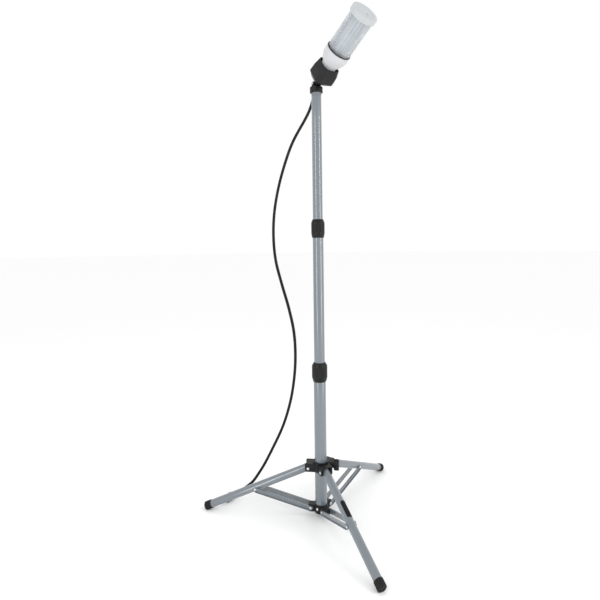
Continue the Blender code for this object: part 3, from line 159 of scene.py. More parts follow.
def shaped(name, work, material):
    """A new piece of a finished mesh, smooth but for its sharp edges."""
    mesh = bpy.data.meshes.new(name)
    work.to_mesh(mesh)
    work.free()
    mesh.shade_smooth()
    mesh.set_sharp_from_angle(angle=math.radians(35))
    mesh.materials.append(material)
    piece = bpy.data.objects.new(name, mesh)
    bpy.context.scene.collection.objects.link(piece)
    return piece


def fit(name, work, material, body, nodes, place):
    """Make a piece, put it in place and let it ride on its body."""
    piece = shaped(name, work, material)
    piece.matrix_world = place
    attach(piece, body)
    if nodes:
        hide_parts(*nodes)
    return piece


GAP = 0.0003                             # between pieces that touch
RUNNING_GAP = 0.0004                     # between pieces that move on each other
LOWER_TUBE_R, MIDDLE_TUBE_R, TOP_TUBE_R = 0.0175, 0.0155, 0.0143
TUBE_ROLL = 0.0004                       # radius of the tubes' deburred ends
MAST_X = (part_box("lower_tube")[0][0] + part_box("lower_tube")[1][0]) / 2
mast = Matrix.Translation((MAST_X, 0.0, 0.0))
# CAD solid, piece, body, radius and wall of each tube.
TUBES = (("lower_tube", "mast_section_low", "base", LOWER_TUBE_R, 0.0013),
         ("middle_tube", "mast_section_middle", "middle_tube", MIDDLE_TUBE_R, 0.0009),
         ("top_tube", "mast_section_top", "top_tube", TOP_TUBE_R, 0.0009))
for node, name, body, radius, wall in TUBES:
    low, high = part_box(node)[0][2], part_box(node)[1][2]
    outline = rounded([(radius, high), (radius, low), (radius - wall, low),
                       (radius - wall, high)], TUBE_ROLL)
    fit(name, turned(outline, 96), powder_coat, body, (node,), mast)

# ================================================================ twist locks
# Tapered collars that clamp each tube in the one below. Glass-filled nylon, moulded in black,
# with sixteen grip grooves, each about 3 mm wide, and a slightly matt spark-eroded skin.

# Black glass-filled nylon: a dull skin with a 0.9 mm grain left by the spark-eroded mould.
nylon, tree, shader = finish("moulded_black_nylon", IOR=1.53, Specular_IOR_Level=0.24)
surface(tree, shader, "#0B0B0C", "#161718", 0.012, (0.34, 0.50), 0.0009, 0.00006)
FLUTES = 16
GROOVE_DEPTH, GROOVE_HALF, GROOVE_RUNOUT = 0.0011, 0.0016, 0.004
LOWER_COLLAR_R, UPPER_COLLAR_R = 0.02225, 0.01935
COLLAR_WALL, COLLAR_EDGE = 0.0020, 0.0012
COLLAR_TOP_LIP, COLLAR_FOOT_LIP = 0.0085, 0.0100
COLLAR_TOP_TAPER, COLLAR_FOOT_TAPER = 0.0095, 0.0115


def grip_collar(name, node, body, radius, tube_r, next_tube_r):
    """A tapered, grooved collar around one tube's end and the next tube's throat."""
    low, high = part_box(node)[0][2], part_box(node)[1][2]
    throat, sleeve, inner = next_tube_r + RUNNING_GAP, tube_r + RUNNING_GAP, radius - COLLAR_WALL
    foot, head = low + COLLAR_FOOT_TAPER, high - COLLAR_TOP_TAPER
    side = [head - 0.0004] + [head - (head - foot) * k / 12 for k in range(1, 12)] + [foot + 0.0004]
    outline = [(throat + 0.0009, high), (throat + COLLAR_EDGE, high - 0.0004),
               (radius - 0.0003, head + 0.0006)]
    outline += [(radius, height) for height in side]
    outline += [(radius - 0.0003, foot - 0.0006), (sleeve + COLLAR_EDGE, low + 0.0004),
                (sleeve + 0.0009, low), (sleeve, low), (sleeve, low + COLLAR_FOOT_LIP),
                (inner, low + COLLAR_FOOT_LIP), (inner, high - COLLAR_TOP_LIP),
                (throat, high - COLLAR_TOP_LIP), (throat, high)]

    def groove(angle, at, height):
        """Round-bottomed grip grooves on the outside, run out towards both tapers."""
        if at < radius - 0.0001:
            return 0.0
        along = (angle * FLUTES / (2 * math.pi)) % 1.0 - 0.5
        across = abs(along) * 2 * math.pi * radius / FLUTES
        fade = min(1.0, max(0.0, min(head - height, height - foot) - 0.001) / GROOVE_RUNOUT)
        return -GROOVE_DEPTH * fade * max(0.0, math.cos(min(across / GROOVE_HALF, 1.0)
                                                        * math.pi / 2))

    fit(name, turned(outline, FLUTES * 14, ripple=groove), nylon, body,
        (node,), mast)


grip_collar("twist_lock_low", "lower_collar", "lower_collar", LOWER_COLLAR_R, LOWER_TUBE_R,
            MIDDLE_TUBE_R)
grip_collar("twist_lock_high", "upper_collar", "upper_collar", UPPER_COLLAR_R, MIDDLE_TUBE_R,
            TOP_TUBE_R)


def refine(name, material, edge):
    """Give a carried-over solid its material and break its sharp edges."""
    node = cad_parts[name]
    for seat in node.material_slots:
        seat.material = material
    weld = node.modifiers.new("weld", "WELD")
    weld.merge_threshold = 0.000002
    if edge:
        bevel = node.modifiers.new("broken_edges", "BEVEL")
        bevel.width = edge
        bevel.segments = 2
        bevel.limit_method = "ANGLE"
        bevel.angle_limit = math.radians(30)
        even = node.modifiers.new("even_shading", "WEIGHTED_NORMAL")
        even.keep_sharp = True


for node in ("lower_ferrule", "upper_ferrule", "middle_tube_guide", "top_tube_guide"):
    refine(node, nylon, 0.0002)

# ================================================================ bushing and cap
# A grey bushing closes the top tube and carries a black cap whose two ears hold the tilt bolt.
# Both are moulded nylon; the bushing keeps the pale, waxy look of unfilled polyamide.

# Unfilled polyamide: pale grey, waxy, with a 1.5 mm flow mottle.
polyamide, tree, shader = finish("grey_polyamide", IOR=1.53, Subsurface_Weight=0.05)
shader.inputs["Subsurface Radius"].default_value = (0.002, 0.002, 0.002)
surface(tree, shader, "#686B6E", "#787B7E", 0.008, (0.34, 0.46), 0.0015, 0.00005)
refine("cap_bushing", polyamide, 0.0004)
refine("mast_cap", nylon, 0.0006)

# ================================================================ tilt bolt and nut
# A bolt through the cap's ears clamps the lamp head. Steel, bright zinc plated, which gives
# a slightly cloudy mirror; its nut is a domed hexagon.

# Zinc plate on steel: bright, with gloss that changes over about 6 mm.
zinc, tree, shader = finish("zinc_plated_steel", Metallic=1.0)
surface(tree, shader, "#B4B7B9", "#DADCDD", 0.006, (0.16, 0.34), 0.0012, 0.00002)
for node in ("tilt_bolt", "tilt_nut"):
    refine(node, zinc, 0.0003)

# ================================================================ cord gland
# A ribbed rubber sleeve that keeps the cord from bending sharply where it leaves the cap.
# Moulded in one with its hexagonal nut and screwed on a spigot of the cap.

# PVC cord jacket and its mouldings: black, slightly greasy gloss, faint 1 mm ripple.
pvc, tree, shader = finish("extruded_black_pvc", IOR=1.53, Specular_IOR_Level=0.18)
surface(tree, shader, "#0C0C0D", "#161617", 0.02, (0.36, 0.52), 0.0010, 0.00004)
CORD_R = 0.0045
CAP_OVERHANG, GLAND_Z, GLAND_AZIMUTH = 0.00445, 1.231, 104.0
GLAND_NUT_R, GLAND_NUT_LENGTH = 0.0085, 0.007
GLAND_TAPER, GLAND_RIBS, RIB_PITCH, RIB_HEIGHT = 0.021, 7, 0.0028, 0.0010
gland_start = TOP_TUBE_R + CAP_OVERHANG + GAP
gland_nut = gland_start + GLAND_NUT_LENGTH
gland_tip = gland_nut + GLAND_TAPER
outline = [(0.0, gland_start), (0.0080, gland_start), (GLAND_NUT_R, gland_start + 0.0005),
           (GLAND_NUT_R, gland_nut - 0.0008), (0.0078, gland_nut)]
for k in range(GLAND_RIBS):
    at = gland_nut + 0.0012 + k * RIB_PITCH
    wide = 0.0070 - 0.0012 * (at - gland_nut) / GLAND_TAPER
    outline += [(wide - RIB_HEIGHT, at), (wide - RIB_HEIGHT, at + 0.0008), (wide, at + 0.0011),
                (wide, at + 0.0024)]
outline += [(0.0056, gland_tip - 0.0004), (0.0052, gland_tip), (0.0, gland_tip)]


def nut_flats(angle, at, height):
    """Turns the round nut into a hexagon."""
    if height > gland_nut - 0.0004 or at < 0.0070:
        return 0.0
    return at * (math.cos(math.pi / 6) / math.cos((angle % (math.pi / 3)) - math.pi / 6) - 0.98)


gland_place = (mast @ Matrix.Translation((0.0, 0.0, GLAND_Z))
               @ Matrix.Rotation(math.radians(GLAND_AZIMUTH), 4, "Z")
               @ Matrix.Rotation(math.pi / 2, 4, "Y"))
gland = fit("gland_sleeve", turned(outline, 48, closed=False, ripple=nut_flats), pvc,
            "top_tube", ("cord_gland",), gland_place)

# ================================================================ lamp housing
# Two clamshell halves, split on the lean plane and screwed together, that hold the lampholder.
# Black ABS, injection moulded with a satin, finely eroded skin that catches the light.

# Satin ABS: a 0.6 mm grain drawn a little coarser than it is, so that it shows.
abs_satin, tree, shader = finish("satin_black_abs", IOR=1.53, Specular_IOR_Level=0.28)
surface(tree, shader, "#0C0C0D", "#151516", 0.015, (0.34, 0.46), 0.0006, 0.00004)
for node in ("housing_left", "housing_right"):
    refine(node, abs_satin, 0.0009)
for node in ("housing_screw_1", "housing_screw_2"):
    refine(node, zinc, 0.0003)

# ================================================================ lampholder and lamp base
# The insulating holder and its brass thread shell take the lamp's aluminium screw base.
# Hidden in the housing: moulded white PBT, pressed brass and spun aluminium.

# White PBT, moulded: an even, slightly creamy white with a soft gloss.
pbt, tree, shader = finish("moulded_white_pbt", IOR=1.55, Subsurface_Weight=0.06)
shader.inputs["Subsurface Radius"].default_value = (0.003, 0.003, 0.003)
surface(tree, shader, "#B8B9BC", "#C6C7C9", 0.02, (0.30, 0.42), 0.0012, 0.00003)
# Pressed brass: warm metal with drawing marks about 1 mm apart.
brass, tree, shader = finish("pressed_brass", Metallic=1.0)
surface(tree, shader, "#B98F45", "#D8B265", 0.005, (0.22, 0.36), 0.0010, 0.00002)
# Spun aluminium: pale metal with fine turning marks.
aluminium, tree, shader = finish("spun_aluminium", Metallic=1.0)
surface(tree, shader, "#C2C4C7", "#DDDFE1", 0.006, (0.26, 0.40), 0.0008, 0.00003)
# Glass-epoxy board under a green solder mask, woven at about 0.5 mm.
fr4, tree, shader = finish("green_solder_mask", IOR=1.5)
surface(tree, shader, "#1F5A36", "#2D7046", 0.004, (0.25, 0.35), 0.0005, 0.00003)
refine("lampholder", pbt, 0.0004)
refine("holder_thread_shell", brass, 0.0002)
refine("lamp_base_shell", aluminium, 0.0002)
refine("lamp_base_contact", brass, 0.0002)
refine("driver_board", fr4, 0.0002)

# ================================================================ lamp neck
# The flared body between the screw base and the cover, which houses the driver.
# White PBT, moulded in one; its wall is 2.5 mm thick and its rim is softly rounded.
HEAD_AZIMUTH, HEAD_TILT, TILT_Z = -45.2, 57.7, 1.2473
knuckle = (mast @ Matrix.Translation((0.0, 0.0, TILT_Z))
           @ Matrix.Rotation(math.radians(HEAD_AZIMUTH), 4, "Z"))
head = knuckle @ Matrix.Rotation(math.radians(HEAD_TILT), 4, "Y")
COVER_R, NECK_LOW_R, NECK_TOP_R, NECK_WALL = 0.0340, 0.0230, 0.0365, 0.0025
NECK_LOW, NECK_HIGH, FLARE_LOW, FLARE_HEIGHT = 0.0665, 0.1220, 0.0745, 0.0335
SPIGOT_R, SPIGOT_LOW, SPIGOT_WALL = 0.0119, 0.0580, 0.0020
flare = []
for k in range(25):
    share = k / 24
    flare.append((NECK_LOW_R + (NECK_TOP_R - NECK_LOW_R) * math.sin(share * math.pi / 2),
                  FLARE_LOW + FLARE_HEIGHT * share))
outline = [(NECK_TOP_R - NECK_WALL, NECK_HIGH), (NECK_TOP_R - 0.0006, NECK_HIGH),
           (NECK_TOP_R - 0.0002, NECK_HIGH - 0.0003), (NECK_TOP_R, NECK_HIGH - 0.0008)]
outline += flare[::-1]
outline += [(NECK_LOW_R, NECK_LOW + 0.0010), (NECK_LOW_R - 0.0003, NECK_LOW + 0.0003),
            (NECK_LOW_R - 0.001, NECK_LOW), (SPIGOT_R, NECK_LOW), (SPIGOT_R, SPIGOT_LOW),
            (SPIGOT_R - SPIGOT_WALL, SPIGOT_LOW), (SPIGOT_R - SPIGOT_WALL, NECK_LOW + NECK_WALL),
            (NECK_LOW_R - NECK_WALL, NECK_LOW + NECK_WALL)]
outline += [(radius - NECK_WALL, height) for radius, height in flare]
fit("flared_neck", turned(outline, 96), pbt, "lamp", ("lamp_neck",), head)

# ================================================================ cover gasket
# The seal between neck and cover: a flat ring punched from black EPDM, squeezed a little proud.

# EPDM and the rubber feet: dull black with dusty patches and a 0.7 mm grain.
rubber, tree, shader = finish("moulded_black_rubber", IOR=1.52, Specular_IOR_Level=0.3)
surface(tree, shader, "#0D0D0D", "#1A1A1A", 0.010, (0.66, 0.86), 0.0007, 0.00008)
SEAL_LOW, SEAL_HIGH = NECK_HIGH + GAP, 0.1245
outline = rounded([(COVER_R + 0.0018, SEAL_HIGH), (COVER_R + 0.0018, SEAL_LOW),
                   (COVER_R - 0.0040, SEAL_LOW), (COVER_R - 0.0040, SEAL_HIGH)], 0.0007)
fit("cover_seal", turned(outline, 96), rubber, "lamp", ("cover_gasket",), head)

# ================================================================ LED carrier
# An octagonal aluminium extrusion with a white LED board on each flat.
# Each board is bonded on and has one row of 3 mm chips under pale yellow phosphor.

# White solder mask on the LED boards.
mask_white, tree, shader = finish("white_solder_mask", IOR=1.5)
surface(tree, shader, "#E9EEF3", "#F4F7FA", 0.006, (0.28, 0.38), 0.0008, 0.00002)
# Phosphor in clear silicone: pale yellow and slightly glossy.
phosphor, tree, shader = finish("phosphor_silicone", IOR=1.41)
surface(tree, shader, "#D8CE94", "#E6DDAA", 0.002, (0.22, 0.32), 0.0006, 0.00002)
refine("led_carrier", aluminium, 0.0005)
FLAT = 0.0235 * math.cos(math.pi / 8)    # the carrier's flats, from its axis
BOARD, CHIP = (0.0012, 0.0130, 0.1050), (0.0008, 0.0030, 0.0034)
BOARD_OUT, BOARD_MIDDLE, CHIP_OUT = 0.0008, 0.1785, 0.0018
CHIP_ROWS, CHIP_START, CHIP_PITCH = 15, 0.1305, 0.0069


def blocks(places, size):
    """Closed boxes of one size with broken edges, one in each place."""
    work = bmesh.new()
    for place in places:
        made = bmesh.ops.create_cube(work, size=1.0)["verts"]
        bmesh.ops.scale(work, verts=made, vec=size)
        bmesh.ops.transform(work, verts=made, matrix=place)
    bmesh.ops.bevel(work, geom=work.edges[:], offset=min(size) * 0.2, segments=1, affect="EDGES")
    return work


boards, chips = [], []
for k in range(8):
    turn = Matrix.Rotation(math.radians(22.5 + 45 * k), 4, "Z")
    boards.append(turn @ Matrix.Translation((FLAT + BOARD_OUT, 0.0, BOARD_MIDDLE)))
    for row in range(CHIP_ROWS):
        chips.append(turn @ Matrix.Translation((FLAT + CHIP_OUT, 0.0,
                                                CHIP_START + row * CHIP_PITCH)))
fit("led_boards", blocks(boards, BOARD), mask_white, "lamp", (), head)
fit("led_chips", blocks(chips, CHIP), phosphor, "lamp", (), head)

# ================================================================ lamp cover
# A clear tube around the LED carrier. Extruded polycarbonate with fine ribs inside,
# which spread the light and break up what lies behind into lengthwise streaks.

# Clear polycarbonate: faint blue-grey, glossy outside, with drawing streaks about 4 mm wide.
polycarbonate, tree, shader = finish(
    "clear_polycarbonate", IOR=1.585, Transmission_Weight=0.92, Roughness=0.06,
    Alpha=0.68)
place = add(tree, "ShaderNodeTexCoord").outputs["Object"]
STREAKS = (260.0, 260.0, 5.0)            # per metre: 4 mm wide and 0.2 m long
drawn = add(tree, "ShaderNodeMapping", {"Vector": place, "Scale": STREAKS}).outputs[0]
lines = add(tree, "ShaderNodeTexNoise", {"Vector": drawn, "Scale": 1.0, "Detail": 2.0})
streaks = add(tree, "ShaderNodeMapRange", {0: lines.outputs[0], 1: 0.42, 2: 0.58})
tint = add(tree, "ShaderNodeMix", {0: streaks.outputs[0], 6: linear("#C9D1DB"),
                                   7: linear("#F6F9FC")}, data_type="RGBA")
tree.links.new(tint.outputs[2], shader.inputs["Base Color"])
bump = add(tree, "ShaderNodeBump", {"Height": lines.outputs[0], "Distance": 0.0002,
                                    "Strength": 0.6})
tree.links.new(bump.outputs[0], shader.inputs["Normal"])
RIBS, RIB_DEPTH, COVER_WALL, COVER_LOW, COVER_HIGH = 66, 0.0006, 0.0014, 0.1248, 0.2370


def rib(angle, at, height):
    """Fine ribs on the inner side only."""
    return 0.0 if at > COVER_R - 0.0012 else -RIB_DEPTH * (0.5 + 0.5 * math.cos(RIBS * angle))


outline = [(COVER_R - 0.0003, COVER_HIGH), (COVER_R, COVER_HIGH - 0.0003),
           (COVER_R, COVER_LOW + 0.0003), (COVER_R - 0.0003, COVER_LOW),
           (COVER_R - COVER_WALL, COVER_LOW), (COVER_R - COVER_WALL, COVER_HIGH)]
fit("ribbed_cover", turned(outline, RIBS * 6, ripple=rib), polycarbonate, "lamp",
    ("lamp_cover",), head)

# ================================================================ end cap
# The cap over the cover's end, held by one small screw. Frosted polycarbonate, moulded with
# a shallow ring groove; it lets a milky light through.

# Frosted polycarbonate: milky white, blasted mould skin of about 0.8 mm.
frosted, tree, shader = finish("frosted_polycarbonate", IOR=1.585, Transmission_Weight=0.25,
                               Subsurface_Weight=0.15)
shader.inputs["Subsurface Radius"].default_value = (0.006, 0.006, 0.006)
surface(tree, shader, "#C3C7CA", "#D3D6D8", 0.012, (0.38, 0.5), 0.0008, 0.00003)
CAP_R, CAP_LOW, CAP_HIGH, CAP_WALL = COVER_R + 0.00375, 0.2325, 0.2475, 0.0024
outline = [(0.0, CAP_HIGH), (0.0215, CAP_HIGH), (0.0221, CAP_HIGH - 0.0006),
           (0.0235, CAP_HIGH - 0.0006), (0.0241, CAP_HIGH), (CAP_R - 0.0022, CAP_HIGH),
           (CAP_R - 0.0009, CAP_HIGH - 0.0004), (CAP_R - 0.0002, CAP_HIGH - 0.0014),
           (CAP_R, CAP_HIGH - 0.0025), (CAP_R, CAP_LOW + 0.0005), (CAP_R - 0.0004, CAP_LOW),
           (COVER_R + 0.0007, CAP_LOW), (COVER_R + GAP, CAP_LOW + 0.0004),
           (COVER_R + GAP, COVER_HIGH + GAP), (COVER_R - 0.0021, COVER_HIGH + GAP),
           (COVER_R - 0.0021, CAP_HIGH - CAP_WALL), (0.0, CAP_HIGH - CAP_WALL)]
fit("lamp_end_cap", turned(outline, 96, closed=False), frosted, "lamp",
    ("end_cap",), head)
refine("end_cap_screw", zinc, 0.0002)

# ================================================================ lower hub
# The cup on the mast's lower end with an arm for each pair of braces. Black nylon, moulded
# in one and held to the tube by a rivet.
refine("lower_hub", nylon, 0.0006)
RIVET_R, RIVET_HEAD_R, RIVET_HEAD = 0.0022, 0.0042, 0.0020
CUP_GRIP, FORK_GRIP, LEG_GRIP = 0.0194, 0.0170, 0.0126
LOWER_PIVOT_Z, LOWER_PIVOT_R, HUB_RIVET_AZIMUTH = 0.025, 0.0300, -120.0
DOME = [(math.cos(math.radians(a)), math.sin(math.radians(a))) for a in range(0, 91, 15)]


def rivet(name, grip, body, nodes, place, both=True):
    """A domed steel rivet along Z, set on whatever lies within grip of its middle."""
    top = [(RIVET_HEAD_R * c, grip + GAP + RIVET_HEAD * s) for c, s in DOME][::-1]
    top[0] = (0.0, top[0][1])
    if both:
        outline = top + [(RIVET_R, grip + GAP), (RIVET_R, -grip - GAP)]
        outline += [(radius, -height) for radius, height in top[::-1]]
    else:
        outline = top + [(RIVET_R, grip + GAP), (RIVET_R, grip - 0.0006), (0.0, grip - 0.0006)]
    fit(name, turned(outline, 32, closed=False), zinc, body, nodes, place)


hub_rivet_place = (mast @ Matrix.Translation((0.0, 0.0, LOWER_PIVOT_Z))
                   @ Matrix.Rotation(math.radians(HUB_RIVET_AZIMUTH), 4, "Z")
                   @ Matrix.Rotation(math.pi / 2, 4, "Y"))
rivet("hub_rivet_domed", CUP_GRIP, "base", ("hub_rivet",), hub_rivet_place, both=False)

# ================================================================ upper hub
# The sleeve that slides on the lower tube, with a fork for each leg and a boss for the knob.
# Black nylon, moulded in one; a captive steel nut sits in its boss.
refine("upper_hub", nylon, 0.0006)
refine("clamp_nut", zinc, 0.0003)

# ================================================================ clamp knob
# The hand knob that presses its stud on the tube. Six soft lobes and a flat cap disc,
# black nylon moulded around a zinc-plated stud.
refine("clamp_stud", zinc, 0.0002)
KNOB_R, KNOB_LOBE, KNOB_LOBES, KNOB_Z = 0.0150, 0.0015, 6, 0.1475
outline = [(0.0, 0.0355), (0.0086, 0.0355), (0.0090, 0.0359), (0.0090, 0.0385), (0.0120, 0.0385),
           (0.0137, 0.0388), (0.0146, 0.0397), (KNOB_R, 0.0412), (KNOB_R, 0.0496),
           (0.0147, 0.0512), (0.0139, 0.0524), (0.0124, 0.0530), (0.0096, 0.0530),
           (0.0091, 0.0525), (0.0091, 0.0520), (0.0088, 0.0520), (0.0088, 0.0526),
           (0.0083, 0.0529), (0.0, 0.0529)]


def lobe(angle, at, height):
    """Soft lobes on the grip, none on its neck and cap disc."""
    if at < 0.0115:
        return 0.0
    return KNOB_LOBE * math.cos(KNOB_LOBES * angle) * min(1.0, (at - 0.011) / 0.003)


knob_place = mast @ Matrix.Translation((0.0, 0.0, KNOB_Z)) @ Matrix.Rotation(math.pi / 2, 4, "Y")
fit("lobed_knob", turned(outline, 96, closed=False, ripple=lobe), nylon, "knob",
    ("clamp_knob",), knob_place)

# ================================================================ legs
# Three steel tubes that hinge in the upper hub's forks on domed rivets. Coated like the mast;
# a second rivet, a little below each tube's axis, takes its two braces.
LEG_R, LEG_WALL, LEG_PIVOT_R, LEG_PIVOT_Z = 0.011, 0.0012, 0.0350, 0.140
LEG_STUB, LEG_END_GAP = 0.004, 0.001
FOOT_CIRCLE, FOOT_HEIGHT = 0.340, 0.011  # the feet's centres, from the mast axis and the floor
BRACE_REACH, BRACE_DROP = 0.172, 0.003   # brace rivet along the leg and below its axis
LEG_SLOPE = math.atan2(LEG_PIVOT_Z - FOOT_HEIGHT, FOOT_CIRCLE - LEG_PIVOT_R)
LEG_LENGTH = math.hypot(LEG_PIVOT_Z - FOOT_HEIGHT, FOOT_CIRCLE - LEG_PIVOT_R)
AZIMUTHS = (180.0, 60.0, -60.0)
along_x = Matrix.Rotation(math.pi / 2, 4, "Y")
along_y = Matrix.Rotation(math.pi / 2, 4, "X")
legs = []
for azimuth in AZIMUTHS:
    legs.append(mast @ Matrix.Rotation(math.radians(azimuth), 4, "Z")
                @ Matrix.Translation((LEG_PIVOT_R, 0.0, LEG_PIVOT_Z))
                @ Matrix.Rotation(LEG_SLOPE, 4, "Y"))
leg_end = LEG_LENGTH - LEG_END_GAP
outline = rounded([(LEG_R, leg_end), (LEG_R, -LEG_STUB), (LEG_R - LEG_WALL, -LEG_STUB),
                   (LEG_R - LEG_WALL, leg_end)], TUBE_ROLL)
for number, leg in enumerate(legs, 1):
    fit(f"leg_{number}_tube_round", turned(outline, 64), powder_coat,
        f"leg_{number}", (f"leg_tube_{number}",), leg @ along_x)
    rivet(f"leg_{number}_pivot_rivet", FORK_GRIP, "hub", (f"leg_rivet_{number}",), leg @ along_y)
    rivet(f"leg_{number}_brace_rivet", LEG_GRIP, f"leg_{number}", (f"brace_rivet_{number}",),
          leg @ Matrix.Translation((BRACE_REACH, 0.0, -BRACE_DROP)) @ along_y)

# ================================================================ leg label
# A plain matt black vinyl patch on the front leg, die-cut with round corners and stuck on
# along the tube.

# Matt vinyl: black, dull, with a faint 1 mm emboss.
vinyl, tree, shader = finish("matt_black_vinyl", IOR=1.5, Specular_IOR_Level=0.2)
surface(tree, shader, "#0A0A0B", "#131415", 0.008, (0.5, 0.64), 0.0010, 0.00003)
LABEL_START, LABEL_END, LABEL_CORNER, ROWS, COLUMNS = 0.107, 0.157, 0.003, 12, 16
LABEL_SIDES = (0.0003, 0.00005)          # its outer and inner side, above the coat
LABEL_TURN, LABEL_HALF = math.radians(150), math.radians(60)
label = bmesh.new()
grid = []
for row in range(ROWS + 1):
    along = row / ROWS
    edge = min(along, 1 - along) * (LABEL_END - LABEL_START)
    trim = 0.0
    if edge < LABEL_CORNER:
        trim = LABEL_CORNER - math.sqrt(LABEL_CORNER ** 2 - (LABEL_CORNER - edge) ** 2)
    half = LABEL_HALF - trim / LEG_R
    for lift in LABEL_SIDES:
        line = []
        for column in range(COLUMNS + 1):
            angle = LABEL_TURN + half * (2 * column / COLUMNS - 1)
            reach = LEG_R + lift
            line.append(label.verts.new((reach * math.cos(angle), reach * math.sin(angle),
                                         LABEL_START + (LABEL_END - LABEL_START) * along)))
        grid.append(line)
outer, inner = grid[0::2], grid[1::2]
for sheet in (outer, inner):
    for low, high in zip(sheet, sheet[1:]):
        for k in range(COLUMNS):
            label.faces.new((low[k], low[k + 1], high[k + 1], high[k]))
for k in range(COLUMNS):
    label.faces.new((outer[0][k], outer[0][k + 1], inner[0][k + 1], inner[0][k]))
    label.faces.new((outer[-1][k], outer[-1][k + 1], inner[-1][k + 1], inner[-1][k]))
for k in range(ROWS):
    for side in (0, -1):
        label.faces.new((outer[k][side], outer[k + 1][side], inner[k + 1][side], inner[k][side]))
bmesh.ops.recalc_face_normals(label, faces=label.faces)
fit("leg_label", label, vinyl, "leg_3", (), legs[2] @ along_x)

# ================================================================ feet
# Blunt rubber caps pushed over the legs' ends, with two shallow grooves and a flat underneath.
# Moulded EPDM, dull black and dusty.
FOOT_R, FOOT_ROUND, FOOT_GROOVE, FOOT_STEPS = 0.0122, 0.0035, 0.0006, 18
GROOVE_STEPS = (8, 9, 13, 14)
foot_end, sleeve = LEG_LENGTH + 0.0065, LEG_LENGTH - 0.0145
outline = [(0.0, foot_end)] + [(FOOT_R * 0.71 * k / 4, foot_end) for k in range(1, 5)]
outline += [(FOOT_R - FOOT_ROUND + FOOT_ROUND * math.sin(math.radians(a)),
             foot_end - FOOT_ROUND + FOOT_ROUND * math.cos(math.radians(a)))
            for a in range(15, 91, 15)]
for k in range(1, FOOT_STEPS):
    at = foot_end - FOOT_ROUND - (foot_end - FOOT_ROUND - sleeve) * k / FOOT_STEPS
    outline.append((FOOT_R - (FOOT_GROOVE if k in GROOVE_STEPS else 0.0), at))
outline += [(FOOT_R, sleeve + 0.0004), (FOOT_R - 0.0004, sleeve), (LEG_R + GAP, sleeve),
            (LEG_R + GAP, LEG_LENGTH - 0.0007), (0.0, LEG_LENGTH - 0.0007)]
for number, leg in enumerate(legs, 1):
    work = turned(outline, 64, closed=False)
    stand = leg @ along_x
    back = stand.inverted()
    for vertex in work.verts:
        spot = stand @ vertex.co
        if spot.z < 0.0:
            spot.z = 0.0
            vertex.co = back @ spot
    fit(f"leg_{number}_foot_cap", work, rubber, f"leg_{number}",
        (f"foot_{number}",), stand)

# ================================================================ braces
# A pair of pressed steel channels ties each leg to the lower hub. Rounded at both ends, where
# the flanges run out, powder coated, and riveted so that they can turn.
BRACE_TOP_R = LEG_PIVOT_R + BRACE_REACH * math.cos(LEG_SLOPE) - BRACE_DROP * math.sin(LEG_SLOPE)
BRACE_TOP_Z = LEG_PIVOT_Z - BRACE_REACH * math.sin(LEG_SLOPE) - BRACE_DROP * math.cos(LEG_SLOPE)
BRACE_LENGTH = math.hypot(BRACE_TOP_R - LOWER_PIVOT_R, BRACE_TOP_Z - LOWER_PIVOT_Z)
BRACE_SLOPE = math.atan2(BRACE_TOP_Z - LOWER_PIVOT_Z, BRACE_TOP_R - LOWER_PIVOT_R)
BRACE_SIDE, SHEET, FLANGE, HALF = 0.0114, 0.0012, 0.0045, 0.0065
WEB_ONLY, RUNOUT, PRESSED_EDGE = 0.0030, 0.0075, 0.00028
SLIVER = 0.00002                         # keeps the flanges from closing on the web


def channel(side):
    """A channel along X whose web lies against the leg and whose flanges point outwards."""
    work = bmesh.new()
    shares = [0.03, 0.12, 0.3, 0.55, 0.8, 1.0, 1.35, 1.8]
    stations = [-HALF + s * HALF for s in shares]
    stations += [BRACE_LENGTH * k / 6 for k in range(1, 6)]
    stations += [BRACE_LENGTH + HALF - s * HALF for s in reversed(shares)]
    rings = []
    for x in stations:
        inside = min(x + HALF, BRACE_LENGTH + HALF - x)
        half = HALF if inside >= HALF else math.sqrt(HALF ** 2 - (HALF - inside) ** 2)
        rise = min(1.0, max(0.0, (inside - WEB_ONLY) / RUNOUT))
        depth = SHEET + (FLANGE - SHEET) * rise * rise * (3 - 2 * rise) + SLIVER
        within = max(half - SHEET, half * 0.5)
        section = [(0.0, -half), (depth, -half), (depth, -within), (SHEET, -within),
                   (SHEET, within), (depth, within), (depth, half), (0.0, half)]
        rings.append([work.verts.new((x, side * (BRACE_SIDE + y), z)) for y, z in section])
    for low, high in zip(rings, rings[1:]):
        for i in range(8):
            j = (i + 1) % 8
            work.faces.new((low[i], low[j], high[j], high[i]))
    work.faces.new(rings[0])
    work.faces.new(rings[-1][::-1])
    bmesh.ops.recalc_face_normals(work, faces=work.faces)
    return work


for number, azimuth in enumerate(AZIMUTHS, 1):
    brace = (mast @ Matrix.Rotation(math.radians(azimuth), 4, "Z")
             @ Matrix.Translation((BRACE_TOP_R, 0.0, BRACE_TOP_Z))
             @ Matrix.Rotation(math.pi - BRACE_SLOPE, 4, "Y"))
    for hand, side in (("left", 1.0), ("right", -1.0)):
        strip = fit(f"brace_{number}_{hand}_channel", channel(side), powder_coat,
                    f"braces_{number}", (f"brace_{hand}_{number}",), brace)
        bevel = strip.modifiers.new("pressed_edges", "BEVEL")
        bevel.width = PRESSED_EDGE
        bevel.segments = 2
        bevel.limit_method = "ANGLE"
        bevel.angle_limit = math.radians(40)
        head_place = (brace @ Matrix.Translation((BRACE_LENGTH, 0.0, 0.0))
                      @ Matrix.Rotation(-side * math.pi / 2, 4, "X"))
        rivet(f"brace_{number}_{hand}_low_rivet", BRACE_SIDE + SHEET, f"braces_{number}", (),
              head_place, both=False)
    refine(f"lower_brace_pin_{number}", zinc, 0.0)

